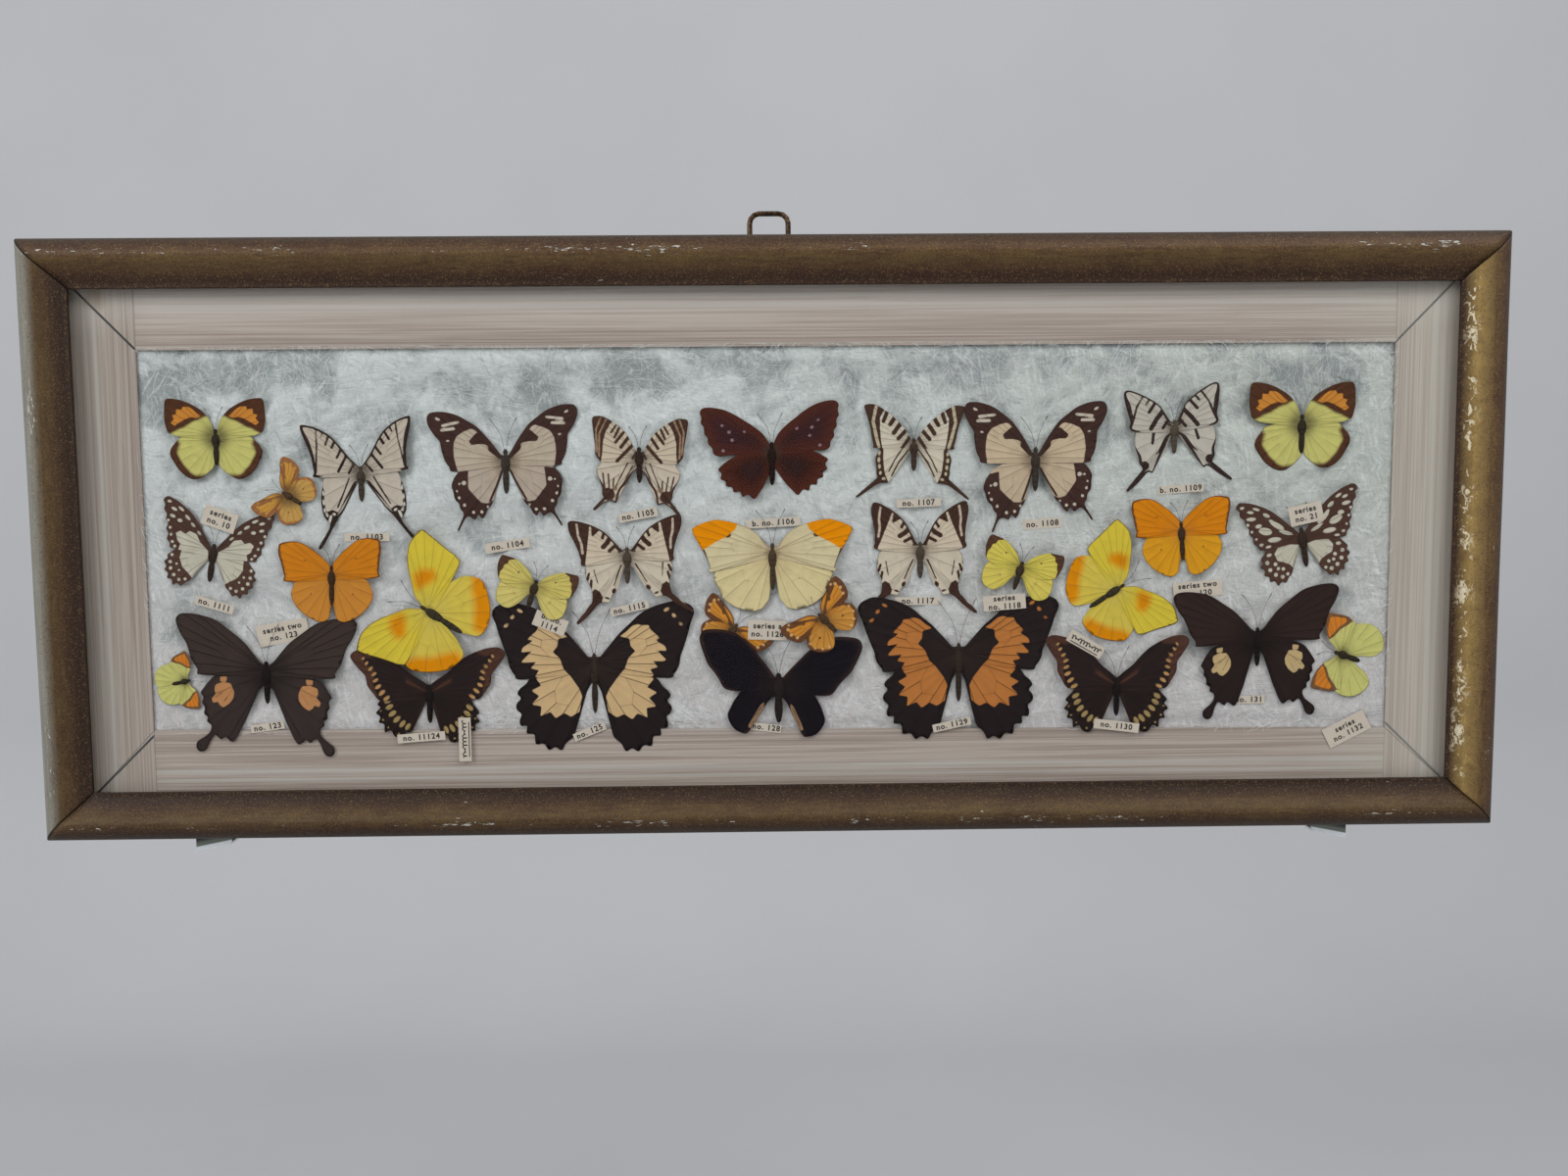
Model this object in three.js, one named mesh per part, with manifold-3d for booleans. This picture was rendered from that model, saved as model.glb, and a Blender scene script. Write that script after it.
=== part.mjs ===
// A wall-hung, glazed collector's case of 32 spread butterflies.
// Millimetres. +Z is up the wall, +X to the right as it hangs, and the front faces -Y.
// The origin is the centre of the backboard's rear face, which lies against the wall.

import * as THREE from 'three';
import { mergeVertices } from 'three/addons/utils/BufferGeometryUtils.js';
import Module from 'manifold-3d';

const wasm = await Module();
wasm.setup();

// ---- driving dimensions ----
const CASE_WIDTH = 820;
const CASE_HEIGHT = 333.6;
const RAIL_WIDTH = 27.5;            // face width of the moulding
const RAIL_BODY_WIDTH = 21.5;       // width behind the lip that holds the glass
const CONTACT_GAP = 0.3;            // clearance kept between touching pieces
const BACKBOARD_THICKNESS = 4;
const COTTON_FRONT = -13.9;
const MAT_FRONT = -15.2;
const MAT_THICKNESS = 1;
const GLASS_THICKNESS = 2;
const GLASS_BACK = -18.9;
const LAYER_FRONT = -15.5;          // back of the lowest layer of wings
const LAYER_STEP = 0.7;
const WING_THICKNESS = 0.4;
const BODY_HALF_DEPTH = 0.75;       // bodies are pressed flat by the glass
const PAPER_THICKNESS = 0.25;
const OPENING = { left: -350.7, right: 350.7, top: 107, bottomLeft: -105.5, bottomRight: -111.5 };
const RING = { wire: 3, width: 24.8, top: 185, hinge: 162, behind: 3.3, corner: 5.5 };
const CLIP = { x: 323, width: 20, thickness: 1.2, slope: 0.2 };

const halfWidth = CASE_WIDTH / 2;
const halfHeight = CASE_HEIGHT / 2;

const material = (color, roughness, metalness = 0) =>
  new THREE.MeshStandardMaterial({ color, roughness, metalness });
const MATERIAL = {
  moulding: material(0x4f3d28, 0.45, 0.2),
  mat: material(0xb9aea2, 0.7),
  glass: material(0xe6ecea, 0.05),
  cotton: material(0xc9c9cc, 1),
  board: material(0x8a6b48, 0.85),
  brass: material(0x5a4a30, 0.4, 0.9),
  zinc: material(0xb8babb, 0.35, 0.9),
  paper: material(0xd9c6b4, 0.9),
};

const object = new THREE.Group();

function addMesh(name, geometry, finish) {
  const mesh = new THREE.Mesh(geometry, finish);
  mesh.name = name;
  object.add(mesh);
  return mesh;
}

// ---- solids and joins ----
function closedPositions(geometry) {
  const bare = geometry.clone();
  bare.deleteAttribute('normal');
  bare.deleteAttribute('uv');
  return mergeVertices(bare, 1e-4);
}

function toSolid(geometry) {
  const merged = closedPositions(geometry);
  return new wasm.Manifold(new wasm.Mesh({
    numProp: 3,
    vertProperties: new Float32Array(merged.attributes.position.array),
    triVerts: new Uint32Array(merged.index.array),
  }));
}

function fromSolid(solid) {
  const mesh = solid.getMesh();
  const geometry = new THREE.BufferGeometry();
  geometry.setAttribute('position', new THREE.BufferAttribute(mesh.vertProperties, 3));
  geometry.setIndex(new THREE.BufferAttribute(mesh.triVerts, 1));
  geometry.computeVertexNormals();
  return geometry;
}

const joined = (geometries) =>
  fromSolid(geometries.map(toSolid).reduce((whole, solid) => whole.add(solid)));

// A flat plate: the outline lies in X and Z, and its thickness runs from yFront to yBack.
function plate(points, yBack, yFront) {
  const outline = new THREE.Shape(points.map(([x, z]) => new THREE.Vector2(x, z)));
  const geometry = new THREE.ExtrudeGeometry(outline, { depth: yBack - yFront, bevelEnabled: false });
  geometry.rotateX(Math.PI / 2);
  geometry.translate(0, yBack, 0);
  return geometry;
}

// ---- moulding: one section, carried along each side and mitred ----
// Each point is [distance in from the outer edge, y].
const mouldingSection = [
  [0, 0], [0, -20.5], [1.5, -24.2], [4.5, -27.6], [8, -29.5], [11, -30], [14, -28.8], [18, -26.2],
  [22, -24.2], [25, -23], [RAIL_WIDTH, -22.7], [RAIL_WIDTH, -21.2], [RAIL_BODY_WIDTH, -21.2],
  [RAIL_BODY_WIDTH, 0],
];

function mouldingRail(halfLength, halfAcross, turn) {
  const outline = new THREE.Shape(mouldingSection.map(([inward, y]) => new THREE.Vector2(inward, y)));
  const geometry = new THREE.ExtrudeGeometry(outline, { depth: 1, bevelEnabled: false });
  const position = geometry.attributes.position;
  const mitreGap = CONTACT_GAP / Math.SQRT2;
  for (let i = 0; i < position.count; i += 1) {
    const inward = position.getX(i);
    const y = position.getY(i);
    const end = position.getZ(i) > 0.5 ? 1 : -1;
    position.setXYZ(i, end * (halfLength - inward - mitreGap), y, halfAcross - inward);
  }
  geometry.rotateY(turn);
  return geometry;
}

addMesh('frame_rail_top', mouldingRail(halfWidth, halfHeight, 0), MATERIAL.moulding);
addMesh('frame_rail_bottom', mouldingRail(halfWidth, halfHeight, Math.PI), MATERIAL.moulding);
addMesh('frame_rail_left', mouldingRail(halfHeight, halfWidth, -Math.PI / 2), MATERIAL.moulding);
addMesh('frame_rail_right', mouldingRail(halfHeight, halfWidth, Math.PI / 2), MATERIAL.moulding);

// ---- backboard, cotton, mat and glass, stacked in the rebate ----
const rebateHalfWidth = halfWidth - RAIL_BODY_WIDTH - CONTACT_GAP;
const rebateHalfHeight = halfHeight - RAIL_BODY_WIDTH - CONTACT_GAP;

function sheet(halfX, halfZ, yBack, yFront) {
  const geometry = new THREE.BoxGeometry(2 * halfX, yBack - yFront, 2 * halfZ);
  geometry.translate(0, (yBack + yFront) / 2, 0);
  return geometry;
}

addMesh('backboard', sheet(rebateHalfWidth, rebateHalfHeight, 0, -BACKBOARD_THICKNESS), MATERIAL.board);
addMesh('glass_pane', sheet(rebateHalfWidth, rebateHalfHeight, GLASS_BACK, GLASS_BACK - GLASS_THICKNESS),
  MATERIAL.glass);

// The batting is one soft slab whose front swells and sinks by a millimetre or so.
function cottonSlab() {
  const depth = -COTTON_FRONT - BACKBOARD_THICKNESS - CONTACT_GAP;
  const geometry = new THREE.BoxGeometry(2 * rebateHalfWidth, depth, 2 * rebateHalfHeight, 12, 1, 5);
  geometry.translate(0, COTTON_FRONT + depth / 2, 0);
  const position = geometry.attributes.position;
  for (let i = 0; i < position.count; i += 1) {
    if (position.getY(i) < COTTON_FRONT + 1) {
      const hollow = Math.sin(position.getX(i) / 41) * Math.cos(position.getZ(i) / 29);
      position.setY(i, COTTON_FRONT + 0.5 + 0.5 * hollow);
    }
  }
  return geometry;
}
addMesh('cotton_batting', cottonSlab(), MATERIAL.cotton);

// Four strips of board with mitred ends cover the cotton's edge around the opening.
const matBack = MAT_FRONT + MAT_THICKNESS;
const opening = {
  topLeft: [OPENING.left, OPENING.top],
  topRight: [OPENING.right, OPENING.top],
  bottomRight: [OPENING.right, OPENING.bottomRight],
  bottomLeft: [OPENING.left, OPENING.bottomLeft],
};
const outer = {
  topLeft: [-rebateHalfWidth, rebateHalfHeight],
  topRight: [rebateHalfWidth, rebateHalfHeight],
  bottomRight: [rebateHalfWidth, -rebateHalfHeight],
  bottomLeft: [-rebateHalfWidth, -rebateHalfHeight],
};
const apart = ([x, z], dx, dz) => [x + dx * CONTACT_GAP, z + dz * CONTACT_GAP];
const matStrips = {
  mat_top: [apart(opening.topLeft, 1, 0), apart(opening.topRight, -1, 0),
    apart(outer.topRight, -1, 0), apart(outer.topLeft, 1, 0)],
  mat_bottom: [apart(opening.bottomRight, -1, 0), apart(opening.bottomLeft, 1, 0),
    apart(outer.bottomLeft, 1, 0), apart(outer.bottomRight, -1, 0)],
  mat_left: [opening.bottomLeft, opening.topLeft, outer.topLeft, outer.bottomLeft],
  mat_right: [opening.topRight, opening.bottomRight, outer.bottomRight, outer.topRight],
};
for (const [name, corners] of Object.entries(matStrips)) {
  addMesh(name, plate(corners, matBack, MAT_FRONT), MATERIAL.mat);
}

// ---- hanger: a plate with a rolled barrel on the top rail's back, and its wire ring ----
function barrel(radiusOuter, radiusInner, length) {
  const outline = new THREE.Shape();
  outline.absarc(0, 0, radiusOuter, 0, 2 * Math.PI);
  const bore = new THREE.Path();
  bore.absarc(0, 0, radiusInner, 0, 2 * Math.PI, true);
  outline.holes.push(bore);
  const geometry = new THREE.ExtrudeGeometry(outline, { depth: length, bevelEnabled: false, curveSegments: 12 });
  geometry.translate(0, 0, -length / 2);
  geometry.rotateY(Math.PI / 2);
  return geometry;
}

const wireRadius = RING.wire / 2;
const barrelBore = wireRadius + 0.4;
const barrelRadius = barrelBore + 1;
const barrelGeometry = barrel(barrelRadius, barrelBore, 10).translate(0, RING.behind, RING.hinge);
const hangerPlate = plate([[-15, 149], [15, 149], [15, 159.5], [5, 159.5], [-5, 159.5], [-15, 159.5]], 1.5, 0.3);
const plateNeck = plate([[-5, 158], [5, 158], [5, RING.hinge - 1.95], [-5, RING.hinge - 1.95]], 2.4, 0.3);
addMesh('hanger_plate', joined([hangerPlate, plateNeck, barrelGeometry]), MATERIAL.brass);

// The ring is a round wire carried along a closed rounded oblong, square to Y.
function roundedOblong(halfX, halfZ, corner) {
  const path = new THREE.Path();
  path.moveTo(halfX, -halfZ + corner);
  path.lineTo(halfX, halfZ - corner);
  path.absarc(halfX - corner, halfZ - corner, corner, 0, Math.PI / 2);
  path.lineTo(-halfX + corner, halfZ);
  path.absarc(-halfX + corner, halfZ - corner, corner, Math.PI / 2, Math.PI);
  path.lineTo(-halfX, -halfZ + corner);
  path.absarc(-halfX + corner, -halfZ + corner, corner, Math.PI, 1.5 * Math.PI);
  path.lineTo(halfX - corner, -halfZ);
  path.absarc(halfX - corner, -halfZ + corner, corner, 1.5 * Math.PI, 2 * Math.PI);
  return path;
}

function wireRing() {
  const halfX = RING.width / 2 - wireRadius;
  const halfZ = (RING.top - wireRadius - RING.hinge) / 2;
  const path = roundedOblong(halfX, halfZ, RING.corner);
  const around = 8;
  const along = 28;
  const geometry = new THREE.TorusGeometry(halfX, wireRadius, around, along);
  const position = geometry.attributes.position;
  for (let j = 0; j <= around; j += 1) {
    for (let i = 0; i <= along; i += 1) {
      const turn = (j / around) * 2 * Math.PI;
      const where = (i % along) / along;
      const point = path.getPointAt(where);
      const tangent = path.getTangentAt(where);
      const outward = wireRadius * Math.cos(turn);
      position.setXYZ(j * (along + 1) + i,
        point.x + tangent.y * outward, -wireRadius * Math.sin(turn), point.y - tangent.x * outward);
    }
  }
  geometry.translate(0, RING.behind, RING.hinge + halfZ);
  return geometry;
}
addMesh('hanger_ring', wireRing(), MATERIAL.brass);

// ---- lower clips: bent zinc straps that reach below the bottom rail ----
function lowerClip(side) {
  const under = -halfHeight - 1.7;
  const foot = under - 5;
  const inner = CONTACT_GAP;
  const outerY = inner + CLIP.thickness;
  const outline = new THREE.Shape([
    [inner, -149], [outerY, -149], [outerY, foot], [-9, foot], [-9, under], [-7.8, under],
    [-7.8, foot + CLIP.thickness], [inner, foot + CLIP.thickness],
  ].map(([y, z]) => new THREE.Vector2(y, z)));
  const geometry = new THREE.ExtrudeGeometry(outline, { depth: CLIP.width, bevelEnabled: false });
  const position = geometry.attributes.position;
  for (let i = 0; i < position.count; i += 1) {
    const y = position.getX(i);
    const z = position.getY(i);
    const x = position.getZ(i) - CLIP.width / 2;
    const slant = z < foot + 2 ? -CLIP.slope * (x + CLIP.width / 2) : 0;
    position.setXYZ(i, side * (CLIP.x + x), y, z + slant);
  }
  if (side < 0) flipFaces(position);
  return geometry;
}

// Swaps two corners of every triangle, for a shape that was turned inside out.
function flipFaces(position) {
  for (let i = 0; i < position.count; i += 3) {
    const second = [position.getX(i + 1), position.getY(i + 1), position.getZ(i + 1)];
    position.setXYZ(i + 1, position.getX(i + 2), position.getY(i + 2), position.getZ(i + 2));
    position.setXYZ(i + 2, ...second);
  }
}
addMesh('lower_clip_left', lowerClip(-1), MATERIAL.zinc);
addMesh('lower_clip_right', lowerClip(1), MATERIAL.zinc);

// ---- butterflies ----
// Each kind is drawn once, right half only, head up, in millimetres from the middle of the thorax.
// fore and hind are the outlines of the two right wings; head and tail are the body's ends.
const KINDS = {
  ixias: {
    colour: 0xbfb877, head: 5, tail: -17,
    fore: [[0, 3], [4, 11.5], [8, 16], [13.5, 19.5], [25.5, 23], [29, 22], [30, 12], [28, 3], [24, 1.5]],
    hind: [[0, 3], [22, 0], [26.5, -6], [27.5, -10], [22.5, -19.5], [13.5, -25], [9, -23.5], [3, -17]],
  },
  smallOrange: {
    colour: 0xc9853f, head: 4, tail: -11,
    fore: [[0, 3], [3.5, 6], [7.5, 8.5], [17.5, 12.5], [21.5, 13], [22.5, 8], [19.5, 0], [14, -2]],
    hind: [[0, 2], [13, 0], [16.5, -4], [17.5, -7.5], [14.5, -12.5], [8, -16], [3.5, -13], [1, -8]],
  },
  kite: {
    colour: 0xbdb9a4, head: 4, tail: -16,
    fore: [[0, 3], [5.5, 10.5], [10.5, 19.5], [14.5, 24.5], [20.5, 29], [28, 31.5], [28, 25.5], [25.5, 12.5],
      [24.5, 1.5]],
    hind: [[0, 2], [23, 2], [24.5, -12.5], [24, -20.5], [22.5, -26], [30.8, -37], [29.2, -38.5], [19.5, -27.5],
      [13, -19], [3, -9]],
  },
  mocker: {
    colour: 0xb5a48c, head: 7, tail: -18,
    fore: [[0, 4], [6.5, 11.5], [13.5, 21], [23.5, 28.5], [33, 31.5], [39.5, 30.5], [40, 24], [35, 15],
      [33.5, 4.5], [28, -2.5]],
    hind: [[0, 3], [28, 0], [31.5, -10.5], [28, -22], [26, -26.5], [30.8, -35], [29, -36], [23, -28.5],
      [14.5, -30], [10, -21], [3, -8]],
  },
  zebra: {
    colour: 0xb9ae93, head: 6.5, tail: -13,
    fore: [[0, 4], [4.5, 7.5], [7.5, 12.5], [16, 19], [24, 21.2], [26.6, 19.5], [25, 10], [23.5, 0.5],
      [19, -3]],
    hind: [[0, 2], [19.5, 0], [22, -8], [19, -15.5], [17.5, -22.5], [21.5, -29.2], [20, -30.5], [15.5, -25.5],
      [9.5, -24], [5, -13]],
  },
  scalloped: {
    colour: 0x4a2c26, head: 5.5, tail: -19,
    fore: [[0, 4], [4, 10.5], [13.5, 19], [24, 26], [33, 28.5], [37.7, 25], [37, 18], [35, 9.5], [31.5, 1.2],
      [20, 0]],
    hind: [[0, 3], [26, 0.5], [31.3, -5], [29, -13], [21, -21], [14.5, -24.2], [7.5, -17.5], [2, -9]],
  },
  banded: {
    colour: 0xb3ae94, head: 3.5, tail: -15,
    fore: [[0, 2.5], [4, 7], [11.5, 15.5], [21, 22], [27.5, 22.3], [26, 15.5], [23.5, 4], [21, -2]],
    hind: [[0, 2], [20, 0], [21.5, -8.5], [21, -18], [26, -23.5], [32.3, -28.2], [31, -30], [18.5, -22],
      [13.5, -20.5], [10, -13], [3, -6]],
  },
  striped: {
    colour: 0xb9b8a8, head: 5, tail: -14,
    fore: [[0, 4], [6, 8.5], [12, 15.5], [21, 20.5], [28, 21.3], [28.5, 17], [25, 4.5], [23, -1.5]],
    hind: [[0, 2], [22.5, -1], [21.5, -10], [19.3, -19], [18.5, -25.5], [26.2, -33.5], [25, -35], [14.5, -24.2],
      [10, -19], [3, -8]],
  },
  spotted: {
    colour: 0x4a3831, head: 5, tail: -17,
    fore: [[0, 3], [5, 6.5], [9.5, 14], [15, 20], [26, 26.5], [31, 25.5], [28, 14.5], [27, 4], [24, -1],
      [15, -3]],
    hind: [[0, 2], [22, -2], [26.3, -9], [25, -15.5], [21, -22], [15.5, -22], [8, -13], [2, -7]],
  },
  marigold: {
    colour: 0xc2832b, head: 6, tail: -16,
    fore: [[0, 5], [5, 11.5], [14.5, 19], [20, 20.3], [26.5, 19.2], [27.5, 14], [25.5, 2], [24, -1.5]],
    hind: [[0, 3], [21, 0], [22.7, -9], [17.5, -19], [7.5, -24.7], [3.5, -23], [1, -12]],
  },
  patched: {
    colour: 0xbfae45, head: 5, tail: -19,
    fore: [[0, 4], [3.5, 9.5], [14, 18.5], [24.5, 23.3], [33.3, 21.5], [33, 16], [30.5, 4], [27, -2.5]],
    hind: [[0, 3], [26, 0], [27.7, -10.5], [21, -20.5], [10, -26.3], [5, -25], [1, -15]],
  },
  blackTip: {
    colour: 0xc2bd6c, head: 4, tail: -13,
    fore: [[0, 3], [3.5, 6], [7.5, 9.5], [13, 12.5], [21.7, 13.2], [22.7, 6], [20, -0.5], [12, -3]],
    hind: [[0, 1], [18, 0], [20.3, -6], [19.5, -12], [13, -15.3], [7, -11.5], [1, -6]],
  },
  swordtail: {
    colour: 0xb8b096, head: 5, tail: -16,
    fore: [[0, 4], [5, 9.5], [9, 16.5], [14.5, 21.5], [25, 27.2], [27.4, 25.5], [26.5, 15.5], [25.5, 5],
      [23.5, 0]],
    hind: [[0, 3], [23.5, 0], [24.2, -11.5], [21.5, -20], [24.5, -27.5], [32.3, -34.5], [31, -36], [16, -24.8],
      [10, -20.5], [3, -9]],
  },
  orangeCorner: {
    colour: 0xc4bd97, head: 6, tail: -21,
    fore: [[0, 4], [6, 8], [9, 11.5], [20, 17], [31.5, 19.2], [44.7, 14.5], [41.5, 6], [34.5, -9.5]],
    hind: [[0, 2], [33, -6], [33.5, -13], [29.5, -23.5], [21.5, -29.5], [13.5, -31.7], [8, -30], [1.5, -20]],
  },
  orangeTip: {
    colour: 0xbdb97c, head: 5, tail: -11,
    fore: [[0, 3], [3.5, 7], [5.5, 10.5], [10, 14], [19.7, 16.3], [21.5, 5.5], [18.5, -0.5], [10, -2]],
    hind: [[0, 1], [18, 0], [21.7, -8.5], [20, -15], [11, -20.6], [5, -17], [1, -8]],
  },
  spangle: {
    colour: 0x211a1a, head: 6, tail: -18.5,
    fore: [[0, 4], [11.5, 16.5], [27, 29.5], [35.5, 32.5], [47, 33.2], [49.2, 30], [44.5, 17.5], [41.5, 7.5],
      [35.5, -2]],
    hind: [[0, 2], [30, 0], [37.5, -11.5], [36.5, -21.5], [33, -31], [40, -39.5], [38.8, -44.5], [35, -43],
      [30, -35.5], [20, -39.5], [12.5, -27], [4, -13]],
  },
  goldrim: {
    colour: 0x2a2321, head: 5.5, tail: -17,
    fore: [[0, 5], [9, 12.5], [19, 22.5], [31.5, 28.5], [38.5, 29], [41, 26.5], [35, 14.5], [31.5, 4],
      [26, -1]],
    hind: [[0, 3], [25, 0], [29.3, -8], [29.5, -13.5], [27.5, -19], [23.5, -24], [14.5, -26.2], [8, -21],
      [2, -9]],
  },
  dividedBlack: {
    colour: 0x2b2120, head: 7, tail: -27,
    fore: [[0, 5], [8.5, 9.5], [21, 22], [34.5, 30.5], [48.5, 33.2], [56, 30], [57, 25.5], [53, 14.5],
      [48, 2], [44, -7]],
    hind: [[0, 2], [42, -4], [40, -14], [42.6, -22], [41.5, -30], [36, -38], [31, -45], [20.5, -48.3],
      [15, -44.5], [10, -36], [3, -14]],
  },
  greyVein: {
    colour: 0x201b1f, head: 6, tail: -23,
    fore: [[0, 4], [10, 14.5], [20, 26], [30.5, 30.5], [41, 31], [44.3, 26], [40, 11.5], [34, 3], [30, -3],
      [20, -4.3]],
    hind: [[0, 2], [18, 0], [25, -9], [29, -18], [24, -27], [19, -28.7], [10, -17.5], [3, -10]],
  },
};

// [name, kind, x, z, heading, scale, layer, swing of left fore, left hind, right fore, right hind]
// heading turns the head anticlockwise from straight up, and swing lifts a wing towards the head.
const SPECIMENS = [
  ['butterfly_01_ixias', 'ixias', -308.6, 59, 0, 0.93, 0, 0, 0, 0, 0],
  ['butterfly_02_small_orange', 'smallOrange', -270, 26.5, 57, 0.86, 1, 9, 0, 8, 0],
  ['butterfly_03_kite', 'kite', -229, 38.5, 0, 1, 0, -9, -8, 0, 0],
  ['butterfly_04_mocker', 'mocker', -148.3, 44.2, 0, 1, 0, -6, -5, 0, 0],
  ['butterfly_05_zebra', 'zebra', -73.8, 45, 0, 1.04, 0, 5, 8, 0, 0],
  ['butterfly_06_scalloped', 'scalloped', 0.4, 48.5, 0, 1, 0, -6, -10, 0, 0],
  ['butterfly_07_banded', 'banded', 80, 52, 0, 1, 0, 0, 0, -3, -3],
  ['butterfly_08_mocker', 'mocker', 148.3, 43, 0, 1, 1, 1, -10, 1, 3],
  ['butterfly_09_striped', 'striped', 226.6, 59.5, 0, 1, 0, 0, 0, 10, 12],
  ['butterfly_10_ixias', 'ixias', 298.6, 62, 0, 1, 0, 0, -6, 0, 0],
  ['butterfly_11_spotted', 'spotted', -312.7, -5, -10, 1, 0, 0, 0, -1, -5],
  ['butterfly_12_marigold', 'marigold', -246.8, -19, -2, 1.03, 2, -5, -4, 3, -2],
  ['butterfly_13_patched', 'patched', -193.1, -39.4, 56, 1.17, 2, -4, 6, 5, -6],
  ['butterfly_14_black_tip', 'blackTip', -133.5, -25.8, -19, 1, 2, -5, -6, 0, 0],
  ['butterfly_15_swordtail', 'swordtail', -81.5, -9, 0, 1, 1, -15, -5, -9, 7],
  ['butterfly_16_orange_corner', 'orangeCorner', 0.2, -8.5, 0, 1, 1, 0, -4, 0, 0],
  ['butterfly_17_swordtail', 'swordtail', 83.6, -7.5, 0, 1, 0, 0, 0, 1, 0],
  ['butterfly_18_black_tip', 'blackTip', 140.2, -18, -17, 1, 2, 1, -4, 0, 0],
  ['butterfly_19_patched', 'patched', 195.5, -30.5, -57, 1, 0, 0, 0, -4, -4],
  ['butterfly_20_marigold', 'marigold', 231.3, 1.5, 4, 1, 1, 0, 0, -4, 0],
  ['butterfly_21_spotted', 'spotted', 300.2, -1.5, 10, 1.04, 0, -6, -8, -7, -9],
  ['butterfly_22_orange_tip', 'orangeTip', -331.9, -77.7, -78, 0.68, 0, -25, -24, -25, -24],
  ['butterfly_23_spangle', 'spangle', -285.6, -72.5, 0, 1, 1, 0, 0, -5, -6],
  ['butterfly_24_goldrim', 'goldrim', -194.5, -86, 0, 1, 1, -6, 4, -5, -7],
  ['butterfly_25_divided_black', 'dividedBlack', -101.2, -71, 0, 1.02, 0, 3, 2, 3, -1],
  ['butterfly_26_small_orange', 'smallOrange', -22.3, -51.2, -38, 0.95, 0, -7, -7, -7, -7],
  ['butterfly_27_small_orange', 'smallOrange', 28.5, -45.4, 44, 1, 3, 0, 0, 0, 0],
  ['butterfly_28_grey_vein', 'greyVein', 3, -82, 0, 1, 2, 0, 0, -8, -8],
  ['butterfly_29_divided_orange', 'dividedBlack', 105.4, -67, 0, 1, 1, 0, 0, 1, -1],
  ['butterfly_30_goldrim', 'goldrim', 195.4, -86, 0, 1, 2, 1, 1, 0, 0],
  ['butterfly_31_spangle', 'spangle', 275.8, -58.5, 0, 0.92, 1, -7, -10, -1, -6],
  ['butterfly_32_orange_tip', 'orangeTip', 325, -69.3, 70, 1, 0, -16, 2, 0, 0],
];

// The body is a spindle: head, waist, thorax and tapering abdomen, as fractions of its length.
const BODY_SECTION = [[0, 1], [1.2, 0.93], [1.1, 0.84], [2.3, 0.68], [1.3, 0.5], [1.6, 0.25], [0, 0]];

function turned(points, degrees, mirror) {
  const angle = THREE.MathUtils.degToRad(degrees);
  return points.map(([x, z]) => [
    mirror * (x * Math.cos(angle) - z * Math.sin(angle)),
    x * Math.sin(angle) + z * Math.cos(angle),
  ]);
}

function butterfly(kind, swings) {
  const [leftFore, leftHind, rightFore, rightHind] = swings;
  const fore = [...kind.fore, [0, -2]];
  const hind = [...kind.hind, [0, -6]];
  const wings = [
    turned(fore, leftFore, -1), turned(hind, leftHind, -1),
    turned(fore, rightFore, 1), turned(hind, rightHind, 1),
  ].map((outline) => plate(outline, WING_THICKNESS / 2, -WING_THICKNESS / 2));
  const length = kind.head - kind.tail;
  const section = BODY_SECTION.map(([r, t]) => new THREE.Vector2(r, kind.tail + t * length)).reverse();
  const body = new THREE.LatheGeometry(section, 6);
  body.rotateX(Math.PI / 2);
  body.scale(1, BODY_HALF_DEPTH / 2.3, 1);
  return { wings, body };
}

for (const [name, kindName, x, z, heading, scale, layer, ...swings] of SPECIMENS) {
  const kind = KINDS[kindName];
  const { wings, body } = butterfly(kind, swings);
  const whole = joined([...wings, body]);
  whole.scale(scale, 1, scale);
  const mesh = addMesh(name, whole, material(kind.colour, 0.8));
  mesh.position.set(x, LAYER_FRONT - WING_THICKNESS / 2 - layer * LAYER_STEP, z);
  mesh.rotation.y = -THREE.MathUtils.degToRad(heading);
}

// ---- paper labels that lie clear on the cotton or the mat ----
// [x, z, width, height, tilt anticlockwise, lies on the mat]
const LABELS = [
  [-226.9, 2.7, 25, 4.5, 0, false], [-148.5, -2.7, 25, 5.5, 8, false], [-75, 13.8, 22, 5, 10, false],
  [0.8, 8.8, 31, 5, 3, false], [82.7, 19.2, 25, 4.5, 2, false], [152.7, 6.9, 22, 5.5, 4, false],
  [230.8, 25.8, 26, 4.5, 4, false], [-313.5, -34.6, 22, 5, -17, false], [-80.8, -38.8, 22, 4.5, 12, false],
  [-286.5, -104.2, 19, 4.5, 8, true], [82.3, -36.2, 26, 4.5, 0, false], [271.9, -94.6, 18, 4.5, 0, false],
  [328.5, -112.3, 26, 12, 27, true],
];
LABELS.forEach(([x, z, width, height, tilt, onMat], index) => {
  const slip = new THREE.BoxGeometry(width, PAPER_THICKNESS, height);
  const mesh = addMesh(`label_${String(index + 1).padStart(2, '0')}`, slip, MATERIAL.paper);
  const back = (onMat ? MAT_FRONT : COTTON_FRONT) - CONTACT_GAP;
  mesh.position.set(x, back - PAPER_THICKNESS / 2, z);
  mesh.rotation.y = -THREE.MathUtils.degToRad(tilt);
});

export default object;
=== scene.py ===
import math

import bpy
import numpy as np
from mathutils import Matrix, Vector


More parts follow.
